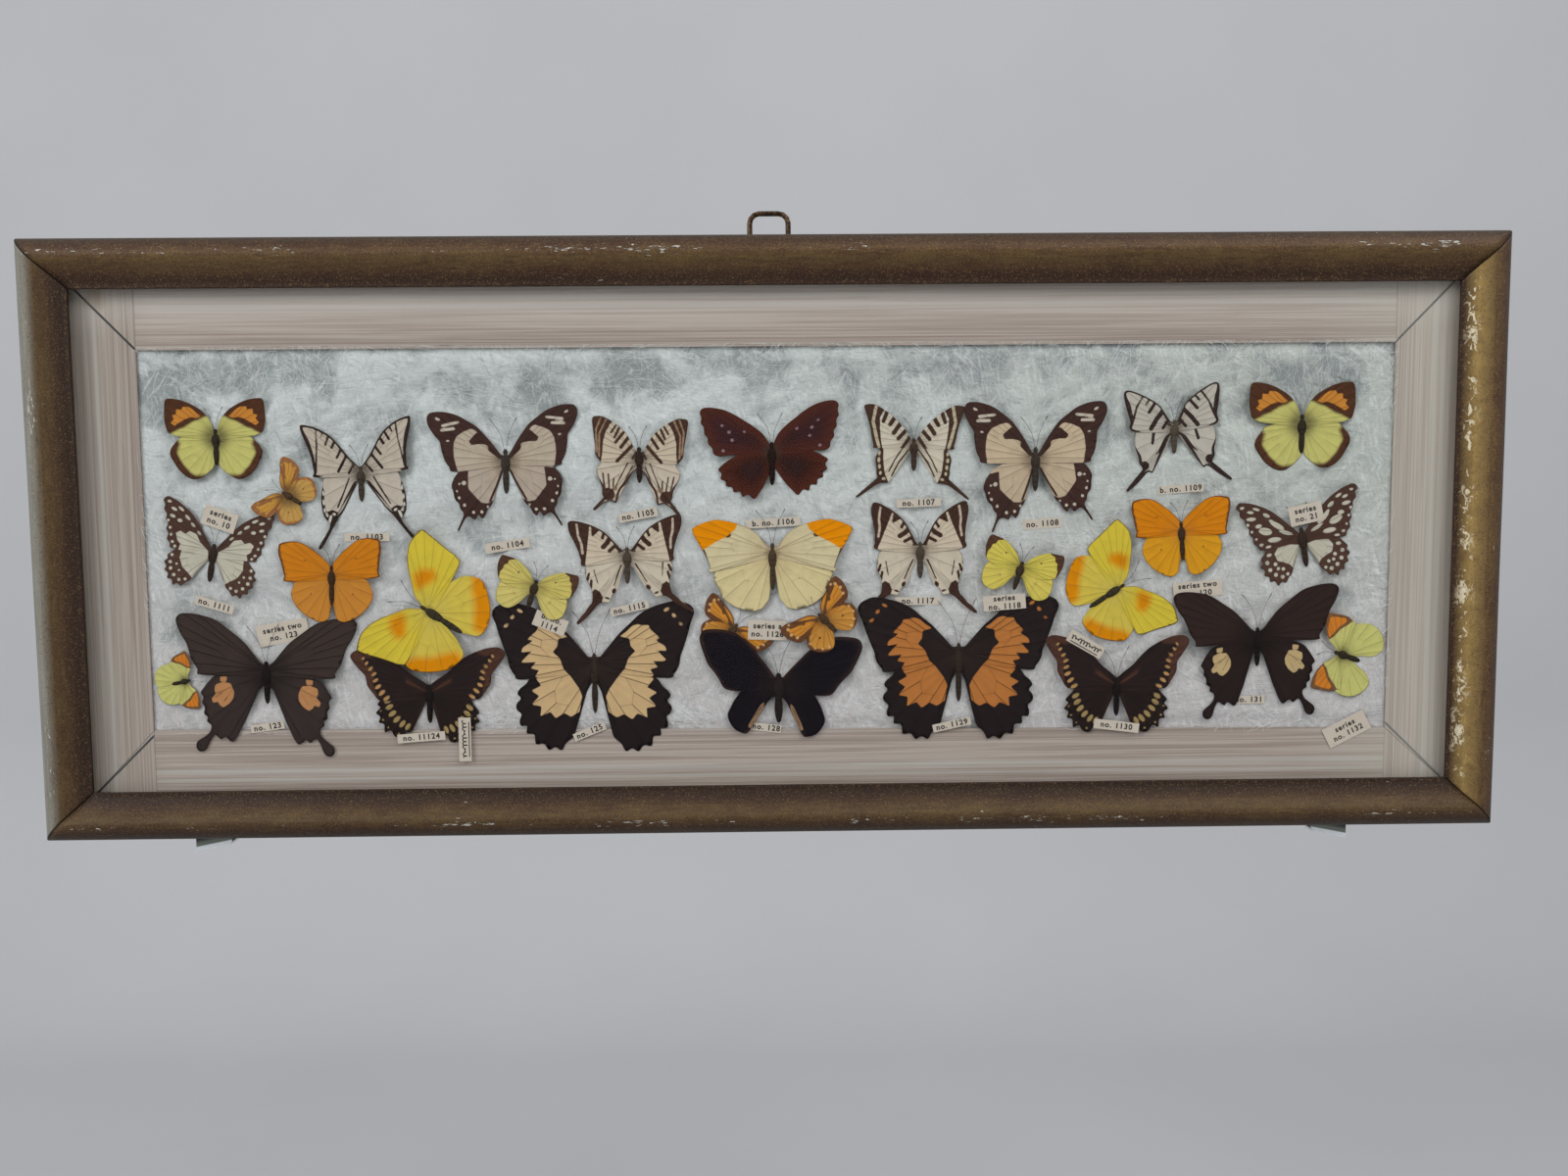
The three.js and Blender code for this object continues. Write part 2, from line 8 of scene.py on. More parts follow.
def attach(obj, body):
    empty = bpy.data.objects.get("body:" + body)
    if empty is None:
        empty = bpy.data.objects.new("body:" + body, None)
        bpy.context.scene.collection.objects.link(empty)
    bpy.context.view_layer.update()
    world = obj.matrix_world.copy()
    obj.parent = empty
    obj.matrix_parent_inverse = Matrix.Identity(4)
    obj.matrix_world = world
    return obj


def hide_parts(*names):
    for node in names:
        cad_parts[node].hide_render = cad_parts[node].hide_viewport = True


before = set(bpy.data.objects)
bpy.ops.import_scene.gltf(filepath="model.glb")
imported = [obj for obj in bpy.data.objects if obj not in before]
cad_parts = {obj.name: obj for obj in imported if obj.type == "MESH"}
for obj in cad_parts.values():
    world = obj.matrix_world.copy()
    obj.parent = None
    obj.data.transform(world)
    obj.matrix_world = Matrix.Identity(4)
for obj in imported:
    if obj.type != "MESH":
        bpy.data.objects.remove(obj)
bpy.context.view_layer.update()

# ---- Camera ----
# The case hangs at eye height and is looked at square on, from two thirds of a metre.
# The lens is wide, and leans down a little.
MM = 0.001
camera_data = bpy.data.cameras.new("camera")
camera_data.sensor_width = 36
camera_data.lens = 27.045
camera = bpy.data.objects.new("camera", camera_data)
to_right = Vector((0.99986951, -0.01371763, -0.00853119))
to_top = Vector((0.00952671, 0.0742249, 0.99719602))
to_viewer = Vector((-0.01304594, -0.99714718, 0.0743459))
stand_point = Vector((-2.109, -679.029, 21.394)) * MM
facing = Matrix((to_right, to_top, to_viewer)).transposed()
camera.matrix_world = Matrix.Translation(stand_point) @ facing.to_4x4()
bpy.context.scene.collection.objects.link(camera)
bpy.context.scene.camera = camera
bpy.context.scene.view_settings.view_transform = "Standard"


# ---- Floor, backdrop and light ----
# A pale floor sweeps up into a pale wall well behind the case, lit by a broad soft window
# on the left and a weaker one overhead, as in a quiet room by day.
def linear(red, green, blue, light=1.0):
    """An 8-bit screen colour as linear light, divided by how brightly it is lit."""
    screen = np.array([red, green, blue]) / 255
    value = np.where(screen <= 0.04045, screen / 12.92, ((screen + 0.055) / 1.055) ** 2.4)
    return (*(value / light), 1.0)


class Value:
    """One number of a node tree. Arithmetic on it adds Math nodes."""

    def __init__(self, paint, socket):
        self.paint, self.socket = paint, socket

    def math(self, operation, *others, clamp=False):
        return self.paint.math(operation, self, *others, clamp=clamp)

    def __add__(self, other):
        return self.math("ADD", other)

    def __sub__(self, other):
        return self.math("SUBTRACT", other)

    def __mul__(self, other):
        return self.math("MULTIPLY", other)

    def __truediv__(self, other):
        return self.math("DIVIDE", other)

    def __rsub__(self, other):
        return self.paint.math("SUBTRACT", other, self)

    __radd__, __rmul__ = __add__, __mul__

    def __abs__(self):
        return self.math("ABSOLUTE")

    def above(self, edge, softness):
        """0 below edge, rising to 1 at edge + softness."""
        return self.paint.math("MULTIPLY", self - edge, 1 / softness, clamp=True)

    def near(self, middle, reach):
        """1 at middle, falling to 0 at reach to either side."""
        return (1 - abs(self - middle) / reach).clamped()

    def clamped(self):
        return self.math("ADD", 0, clamp=True)


class Paint:
    """One material: its shader, and the few ways in which nodes are added to it."""

    def __init__(self, name, roughness=0.7, metallic=0.0, **fixed):
        self.material = bpy.data.materials.new(name)
        self.material.use_nodes = True
        self.tree = self.material.node_tree
        self.shader = self.tree.nodes["Principled BSDF"]
        self.set(Roughness=roughness, Metallic=metallic, **fixed)

    def set(self, **inputs):
        for name, item in inputs.items():
            self.feed(self.shader.inputs[name.replace("_", " ")], item)
        return self

    def feed(self, target, item):
        if isinstance(item, Value):
            item = item.socket
        if isinstance(item, bpy.types.NodeSocket):
            self.tree.links.new(item, target)
        else:
            target.default_value = item

    def make(self, kind, settings=None, **inputs):
        node = self.tree.nodes.new(kind)
        for name, item in (settings or {}).items():
            setattr(node, name, item)
        for name, item in inputs.items():
            self.feed(node.inputs[name.replace("_", " ")], item)
        return node

    def math(self, operation, *items, clamp=False):
        node = self.make("ShaderNodeMath", {"operation": operation, "use_clamp": clamp})
        for target, item in zip(node.inputs, items):
            self.feed(target, item)
        return Value(self, node.outputs[0])

    def attribute(self, name):
        return Value(self, self.make("ShaderNodeAttribute", {"attribute_name": name}).outputs["Fac"])

    def place(self, stretch=(1, 1, 1)):
        """Object coordinates in millimetres, divided along each axis by stretch."""
        where = self.make("ShaderNodeTexCoord").outputs["Object"]
        node = self.make("ShaderNodeVectorMath", {"operation": "MULTIPLY"})
        self.feed(node.inputs[0], where)
        self.feed(node.inputs[1], tuple(1000 / s for s in stretch))
        return node.outputs[0]

    def axes(self):
        node = self.make("ShaderNodeSeparateXYZ", Vector=self.place())
        return [Value(self, out) for out in node.outputs]

    def noise(self, size, detail=3.0, stretch=(1, 1, 1), distortion=0.0, roughness=0.55):
        """Soft noise around 0.5 whose features are about size millimetres across, times stretch along each
        axis. A ready vector may stand in for stretch."""
        where = stretch if isinstance(stretch, bpy.types.NodeSocket) else self.place(stretch)
        node = self.make("ShaderNodeTexNoise", Vector=where, Scale=1 / size, Detail=detail,
                         Roughness=roughness, Distortion=distortion)
        return Value(self, node.outputs["Fac"])

    def mix(self, factor, first, second):
        node = self.make("ShaderNodeMix", {"data_type": "RGBA"})
        self.feed(node.inputs[0], factor)
        self.feed(node.inputs[6], first)
        self.feed(node.inputs[7], second)
        return node.outputs[2]

    def bump(self, height, depth):
        """Raises the surface by height times depth, in millimetres."""
        node = self.make("ShaderNodeBump", Height=height, Distance=depth * MM)
        self.feed(self.shader.inputs["Normal"], node.outputs[0])
        return self


def grid_faces(rows, columns, wrap=True):
    """One face, as four point numbers, between each four neighbours of a grid. Where the grid wraps, its
    last column meets its first."""
    index = np.arange(rows * columns).reshape(rows, columns)
    across = np.roll(index, -1, axis=1) if wrap else index[:, 1:]
    here = index if wrap else index[:, :-1]
    return np.stack([here[:-1], across[:-1], across[1:], here[1:]], axis=-1).reshape(-1, 4)


def mesh_of(name, points, groups, smooth=True):
    """A mesh from points in millimetres and groups of faces, each group with one number of corners."""
    mesh = bpy.data.meshes.new(name)
    loops = np.concatenate([np.ravel(faces) for faces in groups])
    sizes = np.concatenate([np.full(len(faces), len(faces[0])) for faces in groups])
    mesh.vertices.add(len(points))
    mesh.vertices.foreach_set("co", (points * MM).astype(np.float32).ravel())
    mesh.loops.add(len(loops))
    mesh.loops.foreach_set("vertex_index", loops.astype(np.int32))
    mesh.polygons.add(len(sizes))
    mesh.polygons.foreach_set("loop_start", (np.cumsum(sizes) - sizes).astype(np.int32))
    mesh.polygons.foreach_set("use_smooth", np.full(len(sizes), smooth))
    mesh.update(calc_edges=True)
    return mesh


def add_object(name, mesh, *materials):
    piece = bpy.data.objects.new(name, mesh)
    for item in materials:
        mesh.materials.append(item)
    bpy.context.scene.collection.objects.link(piece)
    return piece


# The sweep's profile: along the floor, round a quarter circle, and up.
FLOOR_DROP, FLOOR_REACH, WALL_AWAY, WALL_TOP, SWEEP_RADIUS = 900, 4000, 1700, 2600, 500
bend = np.linspace(0, math.pi / 2, 25)
quarter = np.stack([np.sin(bend) - 1, 1 - np.cos(bend)], axis=1) * SWEEP_RADIUS + [WALL_AWAY, -FLOOR_DROP]
profile = np.concatenate([[[-FLOOR_REACH, -FLOOR_DROP]], quarter, [[WALL_AWAY, WALL_TOP]]])
across = np.linspace(-FLOOR_REACH, FLOOR_REACH, 5)
sweep = np.stack([np.tile(across, (len(profile), 1)), np.repeat(profile[:, :1], 5, 1),
                  np.repeat(profile[:, 1:], 5, 1)], axis=-1).reshape(-1, 3)
plaster = Paint("pale_plaster", roughness=0.95)
plaster.set(Base_Color=plaster.mix(plaster.noise(400), linear(186, 186, 188), linear(194, 194, 196)))
plaster.bump(plaster.noise(3.0), 0.15)
backdrop = mesh_of("backdrop_sweep", sweep, [grid_faces(len(profile), 5, wrap=False)])
add_object("backdrop_sweep", backdrop, plaster.material)

room = bpy.data.worlds.new("room")
room.use_nodes = True
room.node_tree.nodes["Background"].inputs["Color"].default_value = (0.96, 0.98, 1.0, 1)
room.node_tree.nodes["Background"].inputs["Strength"].default_value = 0.60
bpy.context.scene.world = room


def window(name, size, power, place, colour=(1, 1, 1)):
    lamp = bpy.data.lights.new(name, "AREA")
    lamp.shape = "RECTANGLE"
    lamp.size, lamp.size_y = size
    lamp.energy = power
    lamp.color = colour
    holder = bpy.data.objects.new(name, lamp)
    holder.location = place
    holder.rotation_euler = (-Vector(place)).to_track_quat("-Z", "Y").to_euler()
    bpy.context.scene.collection.objects.link(holder)


window("window_left", (1.6, 1.6), 52, (-2.4, -2.2, 1.5), (0.97, 0.98, 1.0))
window("window_above", (2.2, 1.2), 34, (1.2, -1.4, 1.9))


# ---- Moulding ----
# Four lengths of a cushion moulding in softwood, coated with gesso and bronzed gilt, and mitred.
# A century of dusting has worn it, and white gesso shows in the chips. Its colour also holds painted light:
# painted shade where the round turns away, a painted highlight in the gold on the crest, painted shade on the
# bottom and left rails, a painted reflection on the left rail and a painted gold highlight on the right.
CASE_HALF_WIDTH, CASE_HALF_HEIGHT = 410.0, 166.8
SHOULDERS = [[0, 0], [0, -10], [0, -20.5], [1.5, -24.2], [4.5, -27.6], [8, -29.5], [11, -30], [14, -28.8],
             [18, -26.2], [22, -24.2], [25, -23], [27.5, -22.7], [27.5, -21.2], [21.5, -21.2], [21.5, 0]]
CRISP = [0, 2, 11, 12, 13, 14]
CASE_GAP = 0.3


def through(points, count, closed=False):
    """A smooth line through the points, a Catmull-Rom cubic between each two, cut into equal lengths."""
    points = np.asarray(points, float)
    if closed:
        ends = [points[-1:], points, points[:2]]
    else:
        ends = [2 * points[:1] - points[1:2], points, 2 * points[-1:] - points[-2:-1]]
    held = np.concatenate(ends)
    spans = len(held) - 3
    t = np.linspace(0, spans, spans * 24, endpoint=False)
    k = t.astype(int)
    f = (t - k)[:, None]
    a, b, c, d = held[k], held[k + 1], held[k + 2], held[k + 3]
    line = b + 0.5 * f * (c - a + f * (2 * a - 5 * b + 4 * c - d + f * (3 * (b - c) + d - a)))
    line = np.concatenate([line, held[-2:-1]])
    reach = np.concatenate([[0], np.cumsum(np.linalg.norm(np.diff(line, axis=0), axis=1))])
    stops = np.linspace(0, reach[-1], count, endpoint=not closed)
    return np.stack([np.interp(stops, reach, line[:, axis]) for axis in range(points.shape[1])], axis=1)


def turned(points, degrees):
    """Points turned anticlockwise about the y axis, as seen from the front."""
    x, y, z = np.moveaxis(points, -1, 0)
    cos, sin = math.cos(math.radians(degrees)), math.sin(math.radians(degrees))
    return np.stack([x * cos - z * sin, y, x * sin + z * cos], axis=-1)


def rail_grid(half_length, half_across, turn):
    """The moulding's section carried along the rail; each point stops at the mitre, half_length less its own
    distance in from the outer edge. The hand-laid gesso ripples by a tenth of a millimetre."""
    rounded = [through(SHOULDERS[a:b + 1], max(2, 6 * (b - a))) for a, b in zip(CRISP, CRISP[1:])]
    section = np.concatenate([part[:-1] for part in rounded])
    inward, depth = section[:, 0], section[:, 1]
    along = np.linspace(-1, 1, 161)[:, None]
    ripple = 0.1 * np.sin(along * half_length / 23 + inward / 5) * (depth < -22)
    x = along * (half_length - inward - CASE_GAP / math.sqrt(2))
    grid = np.stack([x, depth + ripple, np.broadcast_to(half_across - inward, x.shape)], axis=-1)
    return turned(grid, turn)


def bronzed_gilt(name, lying, gold_highlight_and_leaf=0.0, painted_reflection=0.0, chips=1.0, depth=1.0):
    """Bronze powder in size over red-brown bole. The colour runs across the round: painted shade where it
    turns away at the outer edge, olive gold on the crest that is partly the gilt and partly a painted
    highlight, and red brown by the glass darkened as painted shade; streaked noise rubs and chips it. depth
    darkens a whole rail as painted shade, painted_reflection paints a grey reflection on the outer slope, and
    gold_highlight_and_leaf paints a gold highlight on the inner flank with bright flecks by the glass. The
    back is bare wood."""
    paint = Paint(name, Specular_IOR_Level=0.22)
    x, y, z = paint.axes()
    from_side = CASE_HALF_WIDTH - abs(x)
    from_end = CASE_HALF_HEIGHT - abs(z)
    inward = from_end if lying else from_side

    # depth divides every colour here: painted shade that darkens a whole rail.
    def tone(*colour):
        return linear(*colour, 1.45 * depth)

    streak = paint.noise(1.0, 4, (14, 3, 1.6) if lying else (1.6, 3, 14))
    cloud = paint.noise(38, 3)
    blotch = paint.noise(7, 4, distortion=0.8)
    speckle = paint.noise(0.8, 3)
    # The gold on the crest is partly the gilt and partly a painted highlight where the round stands out.
    crest = inward.near(13.5, 8.5)
    bole = paint.mix(cloud, tone(74, 48, 34), tone(92, 62, 44))
    gold = paint.mix(streak, tone(98, 76, 46), tone(128, 101, 62))
    gold_and_highlight = crest * 0.8 + (streak - 0.5) * 1.1 + cloud - 0.45 + (blotch - 0.5) * 0.9
    colour = paint.mix(gold_and_highlight.clamped(), bole, gold)
    # Painted shade: darker where the round turns away at the outer edge, and darker red brown by the glass.
    colour = paint.mix(inward.above(8.0, -6.5) * 0.75, colour, tone(62, 52, 43))
    colour = paint.mix(inward.above(17.0, 7.0) * 0.85, colour, tone(52, 33, 24))
    # Painted reflection: a streaked grey sheen of the room's light on the outer slope.
    if painted_reflection:
        grey = paint.noise(1.0, 4, (2.5, 2.5, 30))
        reflection_share = (inward.above(13.5, -6.5) * (grey + 0.4) * painted_reflection).clamped()
        colour = paint.mix(reflection_share, colour, linear(150, 149, 138, 1.1))
    if gold_highlight_and_leaf:
        leaf = paint.noise(1.0, 4, (2.4, 3, 4.2), distortion=1.2)
        cluster = paint.noise(26, 1)
        flank = inward.near(19.0, 7.0)
        inner_edge = inward.near(21.5, 5.0)
        # Painted highlight: a blotched gold wash on the inner flank, which faces the light; then bright
        # flecks by the glass, partly worn leaf and partly painted glints.
        colour = paint.mix((flank * (0.2 + blotch * 1.5) * gold_highlight_and_leaf).clamped(), colour, tone(190, 158, 92))
        flecks = (leaf + (cluster - 0.5) * 0.8 + inner_edge * 0.1).above(0.64, 0.05) * inner_edge
        colour = paint.mix(flecks, colour, linear(226, 214, 184, 1.1))
    colour = paint.mix(speckle.above(0.55, 0.12) * 0.5, colour, tone(156, 126, 80))
    colour = paint.mix(speckle.above(0.45, -0.12) * 0.55, colour, tone(50, 36, 26))
    chip = paint.noise(1.0, 5, (6, 3, 1.3) if lying else (1.3, 3, 6), roughness=0.7)
    zone = paint.noise(55, 1)
    ridge = inward.near(9.0, 4.0)
    near_end = (from_side if lying else from_end).above(95, -60)
    bare = (chip + ridge * 0.13 + (zone - 0.5) * 0.5 + near_end * 0.06).above(0.80 - 0.03 * chips, 0.02)
    colour = paint.mix(bare, colour, linear(190, 184, 172, 1.1))
    mitre = abs(from_side - from_end).above(0.9, -0.5)
    raw_wood = paint.mix(streak, linear(96, 74, 50), linear(138, 112, 80))
    colour = paint.mix(y.above(-0.35, 0.3), colour, raw_wood)
    colour = paint.mix(mitre * 0.8, colour, linear(26, 20, 16))
    paint.set(Base_Color=colour, Roughness=0.45 + streak * 0.2 + bare * 0.3, Metallic=0.12 * (1 - bare))
    paint.bump(streak * 0.5 + blotch * 0.4 + speckle * 0.35 - bare * 1.2, 0.3)
    return paint.material


# depth gives the bottom and left rails painted shade; the left rail has a painted reflection, the right a
# painted gold highlight.
for side, half_length, half_across, turn, lying, wear in (
        ("top", CASE_HALF_WIDTH, CASE_HALF_HEIGHT, 0, True, dict(chips=1.6)),
        ("bottom", CASE_HALF_WIDTH, CASE_HALF_HEIGHT, 180, True, dict(chips=1.8, depth=1.35)),
        ("left", CASE_HALF_HEIGHT, CASE_HALF_WIDTH, 90, False, dict(chips=1.8, painted_reflection=0.9, depth=1.3)),
        ("right", CASE_HALF_HEIGHT, CASE_HALF_WIDTH, -90, False, dict(chips=0.8, gold_highlight_and_leaf=0.8))):
    name = f"moulding_{side}"
    rings = rail_grid(half_length, half_across, turn)
    rows, columns = rings.shape[:2]
    caps = [np.arange(columns)[::-1], (rows - 1) * columns + np.arange(columns)]
    skin = mesh_of(name, rings.reshape(-1, 3), [grid_faces(rows, columns), caps])
    rail = add_object(name, skin, bronzed_gilt(f"bronzed_gilt_{side}", lying, **wear))
    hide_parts(f"frame_rail_{side}")
    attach(rail, "case")

# ---- Backboard ----
# A thin board of planed softwood, pushed into the rebate behind the cotton and tacked.
# It is flush with the moulding's back.
def coat(node, paint):
    """Gives a frame node this material in each of its slots."""
    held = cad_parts[node]
    for place in held.material_slots:
        place.material = paint.material
    if not held.material_slots:
        held.data.materials.append(paint.material)


board = Paint("planed_deal", roughness=0.8)
ring_grain = board.noise(1.0, 5, (260, 8, 5), distortion=0.6)
board.set(Base_Color=board.mix(ring_grain, linear(120, 92, 60), linear(176, 146, 104)))
board.bump(ring_grain, 0.3)
coat("backboard", board)

# ---- Mat ----
# Four strips of board faced with a pale printed oak film, whose side strips run the full height
# with upright grain. A dark line crosses each corner square on the slant.
OPENING_EDGE, OPENING_TOP, OPENING_FOOT = 350.7, 107.2, 108.5
MAT_SIDE, MAT_TOP = 382.5, 139.3


def tint(*colour):
    return linear(*colour, 1.14)


oak = Paint("printed_oak_film", roughness=0.62)
x, _, z = oak.axes()
upright = abs(x).above(OPENING_EDGE, 0.4)


def oak_grain(stretch, half_opening, half_case, away):
    """Fine lines along the board over slow, wandering figure, with two whitish bands toward the moulding
    and a few darker lines by the opening."""
    fine = oak.noise(1.0, 4, stretch, distortion=0.25)
    figure = oak.noise(1.0, 3, [s * 4.5 for s in stretch], distortion=1.4)
    colour = oak.mix(fine.above(0.40, 0.18), tint(155, 139, 128), tint(180, 167, 157))
    colour = oak.mix(figure.near(0.52, 0.03) * 0.35, colour, tint(146, 127, 118))
    wander = abs(away) + (figure - 0.5) * 1.6 + (fine - 0.5) * 1.2
    for offset in (2.6, 4.4, 8.2):
        dark = wander.near(half_opening + offset, 0.7)
        colour = oak.mix(dark * 0.5, colour, tint(128, 110, 102))
    for offset, width in ((4.5, 1.4), (9.5, 2.6)):
        pale = wander.near(half_case - offset, width)
        colour = oak.mix(pale * 0.55, colour, tint(192, 190, 182))
    return colour


lying_grain = oak_grain((120, 40, 0.95), OPENING_TOP, MAT_TOP, z)
upright_grain = oak_grain((0.95, 40, 120), OPENING_EDGE, MAT_SIDE, x)
wood = oak.mix(upright, lying_grain, upright_grain)
# Painted light: the top strip grows lighter toward the top rail, against the shade that the rail casts on it.
wood = oak.mix(z.above(114, 18) * 0.36, wood, tint(222, 212, 202))
pore = oak.noise(0.5, 2, (6, 6, 1))
fibre_relief = oak.noise(0.8, 3)
wood = oak.mix(pore.above(0.62, 0.1) * 0.18, wood, tint(150, 128, 118))
past_edge = abs(x) - OPENING_EDGE
slant = past_edge - (abs(z) - OPENING_TOP) * 0.968
low_slant = past_edge - (abs(z) - OPENING_FOOT) * 1.03
use_low = z.above(0, -0.1)
drawn = abs(slant * (1 - use_low) + low_slant * use_low).above(1.05, -0.35) * upright
wood = oak.mix(drawn, wood, linear(40, 42, 46))
joint = abs(past_edge).above(0.45, -0.25)
wood = oak.mix(joint * 0.5, wood, tint(110, 96, 88))
damp = oak.noise(9, 3)
corner = ((x + 372) * (x + 372) + (z - 136) * (z - 136)).math("SQRT") + damp * 8
wood = oak.mix(corner.above(12, -6) * 0.5, wood, linear(120, 96, 66))
# Painted shade on the left strip, which the left rail shades, and painted light toward the right.
wood = oak.mix(x.above(-340, -30) * 0.22, wood, tint(112, 108, 92))
wood = oak.mix(x.above(300, 70) * 0.35, wood, tint(204, 199, 186))
oak.set(Base_Color=wood, Roughness=0.55 + pore * 0.15)
oak.bump(pore + fibre_relief + drawn * 2, 0.05)
for side in ("top", "bottom", "left", "right"):
    coat(f"mat_{side}", oak)

# ---- Glass ----
# One pane of old window glass, two millimetres thick and held behind the moulding's lip.
# It is clear, and faintly reflects the room.
pane = Paint("window_glass")
slant_of_sight = Value(pane, pane.make("ShaderNodeLayerWeight", Blend=0.5).outputs["Facing"])
clear = pane.make("ShaderNodeBsdfTransparent", Color=(0.985, 0.99, 0.988, 1))
gloss = pane.make("ShaderNodeBsdfGlossy", Roughness=0.04)
share = pane.make("ShaderNodeMixShader", Fac=slant_of_sight.math("POWER", 5) * 0.7 + 0.003)
pane.feed(share.inputs[1], clear.outputs[0])
pane.feed(share.inputs[2], gloss.outputs[0])
pane.feed(pane.tree.nodes["Material Output"].inputs["Surface"], share.outputs[0])
pane.tree.nodes.remove(pane.shader)
coat("glass_pane", pane)

# ---- Hanger ----
# A brass plate pinned to the top rail's back and rolled into a barrel.
# The ring of brass wire swings in the barrel.
tarnished = Paint("tarnished_brass", roughness=0.38, metallic=0.9)
rub = tarnished.noise(2.2, 4)
tarnished.set(Base_Color=tarnished.mix(rub.above(0.45, 0.25), linear(44, 34, 27), linear(104, 80, 54)),
              Roughness=0.3 + rub * 0.3)
tarnished.bump(tarnished.noise(0.8, 3), 0.05)
coat("hanger_plate", tarnished)
coat("hanger_ring", tarnished)

# ---- Lower clips ----
# Two bent straps of galvanised sheet, screwed to the bottom rail's back, with a spangled skin. Up to just
# above the fold it carries a painted highlight; higher, painted shade goes grey and then black under the
# rail.
CLIP_MIDDLE, CLIP_WIDTH, FOLD_DROP, FOLD_SLOPE = 323, 20, 173.5, 0.2
galvanised = Paint("galvanised_sheet", roughness=0.4, metallic=0.1)
spangle = Value(galvanised, galvanised.make("ShaderNodeTexVoronoi", Vector=galvanised.place(),
                                            Scale=0.45).outputs["Color"])
x, _, z = galvanised.axes()
over_fold = z + FOLD_DROP + (abs(x) - CLIP_MIDDLE + CLIP_WIDTH / 2) * FOLD_SLOPE
# The near-white zinc is a painted highlight where the lip catches the light; above the fold, painted shade
# goes grey and then black under the rail.
zinc_lit_and_shaded = galvanised.mix(spangle, linear(228, 234, 238), linear(244, 248, 250))
zinc_lit_and_shaded = galvanised.mix(over_fold.above(2.4, 0.4), zinc_lit_and_shaded, linear(112, 118, 110))
zinc_lit_and_shaded = galvanised.mix(over_fold.above(4.4, 2.0), zinc_lit_and_shaded, linear(38, 38, 36))
galvanised.set(Base_Color=zinc_lit_and_shaded, Roughness=0.3 + galvanised.noise(1.5) * 0.25)
galvanised.bump(galvanised.noise(0.6, 3), 0.03)
coat("lower_clip_left", galvanised)
coat("lower_clip_right", galvanised)

# ---- Cotton ----
# Bleached cotton wool, teased out by hand and laid over the whole board, so that it is thick and white low
# down and thin near the top; its hollows are grey-green, partly the thin wadding and partly painted shade.
# Combed hairs carry painted highlights and painted shade. Loose fibres lie over it in wisps.
COTTON_HALF_WIDTH, COTTON_HALF_HEIGHT = 387.0, 143.0
COTTON_BACK, UNDER_MAT, OVER_MAT, HOLLOW_DEPTH, SWELL = -4.3, -13.9, -15.32, 4.0, 1.4
FLOAT_GAP = 0.12
OPEN_SIDE, OPEN_TOP = 350, 106
ROLL_LENGTHS = (64, 41, 27, 18, 12, 8.5, 5.5)
chance = np.random.default_rng(7)
ROLLS = [(*chance.uniform(0, 2 * math.pi, 2), size) for size in ROLL_LENGTHS for _ in range(5)]


def loft(x, z):
    """How far the wadding stands up, 0 in a hollow and 1 on a tuft: plane waves in chance directions, whose
    height follows their length. The top band and the left lie lower."""
    roll = sum(size ** 0.8 * np.sin((x * math.cos(way) + z * math.sin(way)) * 2 * math.pi / size + phase)
               for way, phase, size in ROLLS) / 95
    thin = np.clip((z - 42) / 45, 0, 1) * 0.32 + np.clip((-x - 250) / 90, 0, 1) * 0.12
    return np.clip(0.72 + 0.42 * roll - thin, 0, 1)


def wool_front(x, z):
    """The wadding's front: flat under the mat, and swelling toward the glass inside its opening."""
    inside = np.minimum(OPEN_SIDE - abs(x), OPEN_TOP - abs(z + 1))
    return (UNDER_MAT - SWELL * np.clip(inside / 5, 0, 1)
            + HOLLOW_DEPTH * (1 - loft(x, z)) * np.clip(inside / 22, 0.1, 1))


def quilt_mesh(name, columns, rows):
    """The slab: a front that follows the loft, rounded down to a flat back at its border."""
    x = np.linspace(-COTTON_HALF_WIDTH, COTTON_HALF_WIDTH, columns)[None, :]
    z = np.linspace(-COTTON_HALF_HEIGHT, COTTON_HALF_HEIGHT, rows)[:, None]
    border = np.minimum(COTTON_HALF_WIDTH - abs(x), COTTON_HALF_HEIGHT - abs(z))
    full = np.sqrt(np.clip(border / 3, 0, 1))
    front = COTTON_BACK - 0.3 + (wool_front(x, z) - COTTON_BACK + 0.3) * full
    wide, high = np.broadcast_arrays(x, z)
    face = np.stack([wide, front, high], axis=-1)
    rim = np.concatenate([face[0, :-1], face[:-1, -1], face[-1, :0:-1], face[:0:-1, 0]])
    foot = rim * [1, 0, 1] + [0, COTTON_BACK, 0]
    points = np.concatenate([face.reshape(-1, 3), foot])
    index = np.arange(rows * columns).reshape(rows, columns)
    edge = np.concatenate([index[0, :-1], index[:-1, -1], index[-1, :0:-1], index[:0:-1, 0]])
    low = rows * columns + np.arange(len(foot))
    skirt = np.stack([edge, low, np.roll(low, -1), np.roll(edge, -1)], axis=1)
    mesh = mesh_of(name, points, [grid_faces(rows, columns, wrap=False), skirt, low[None, ::-1]])
    thick = np.concatenate([loft(x, z).ravel(), np.ones(len(foot))])
    mesh.attributes.new("loft", "FLOAT", "POINT").data.foreach_set("value", thick.astype(np.float32))
    return mesh


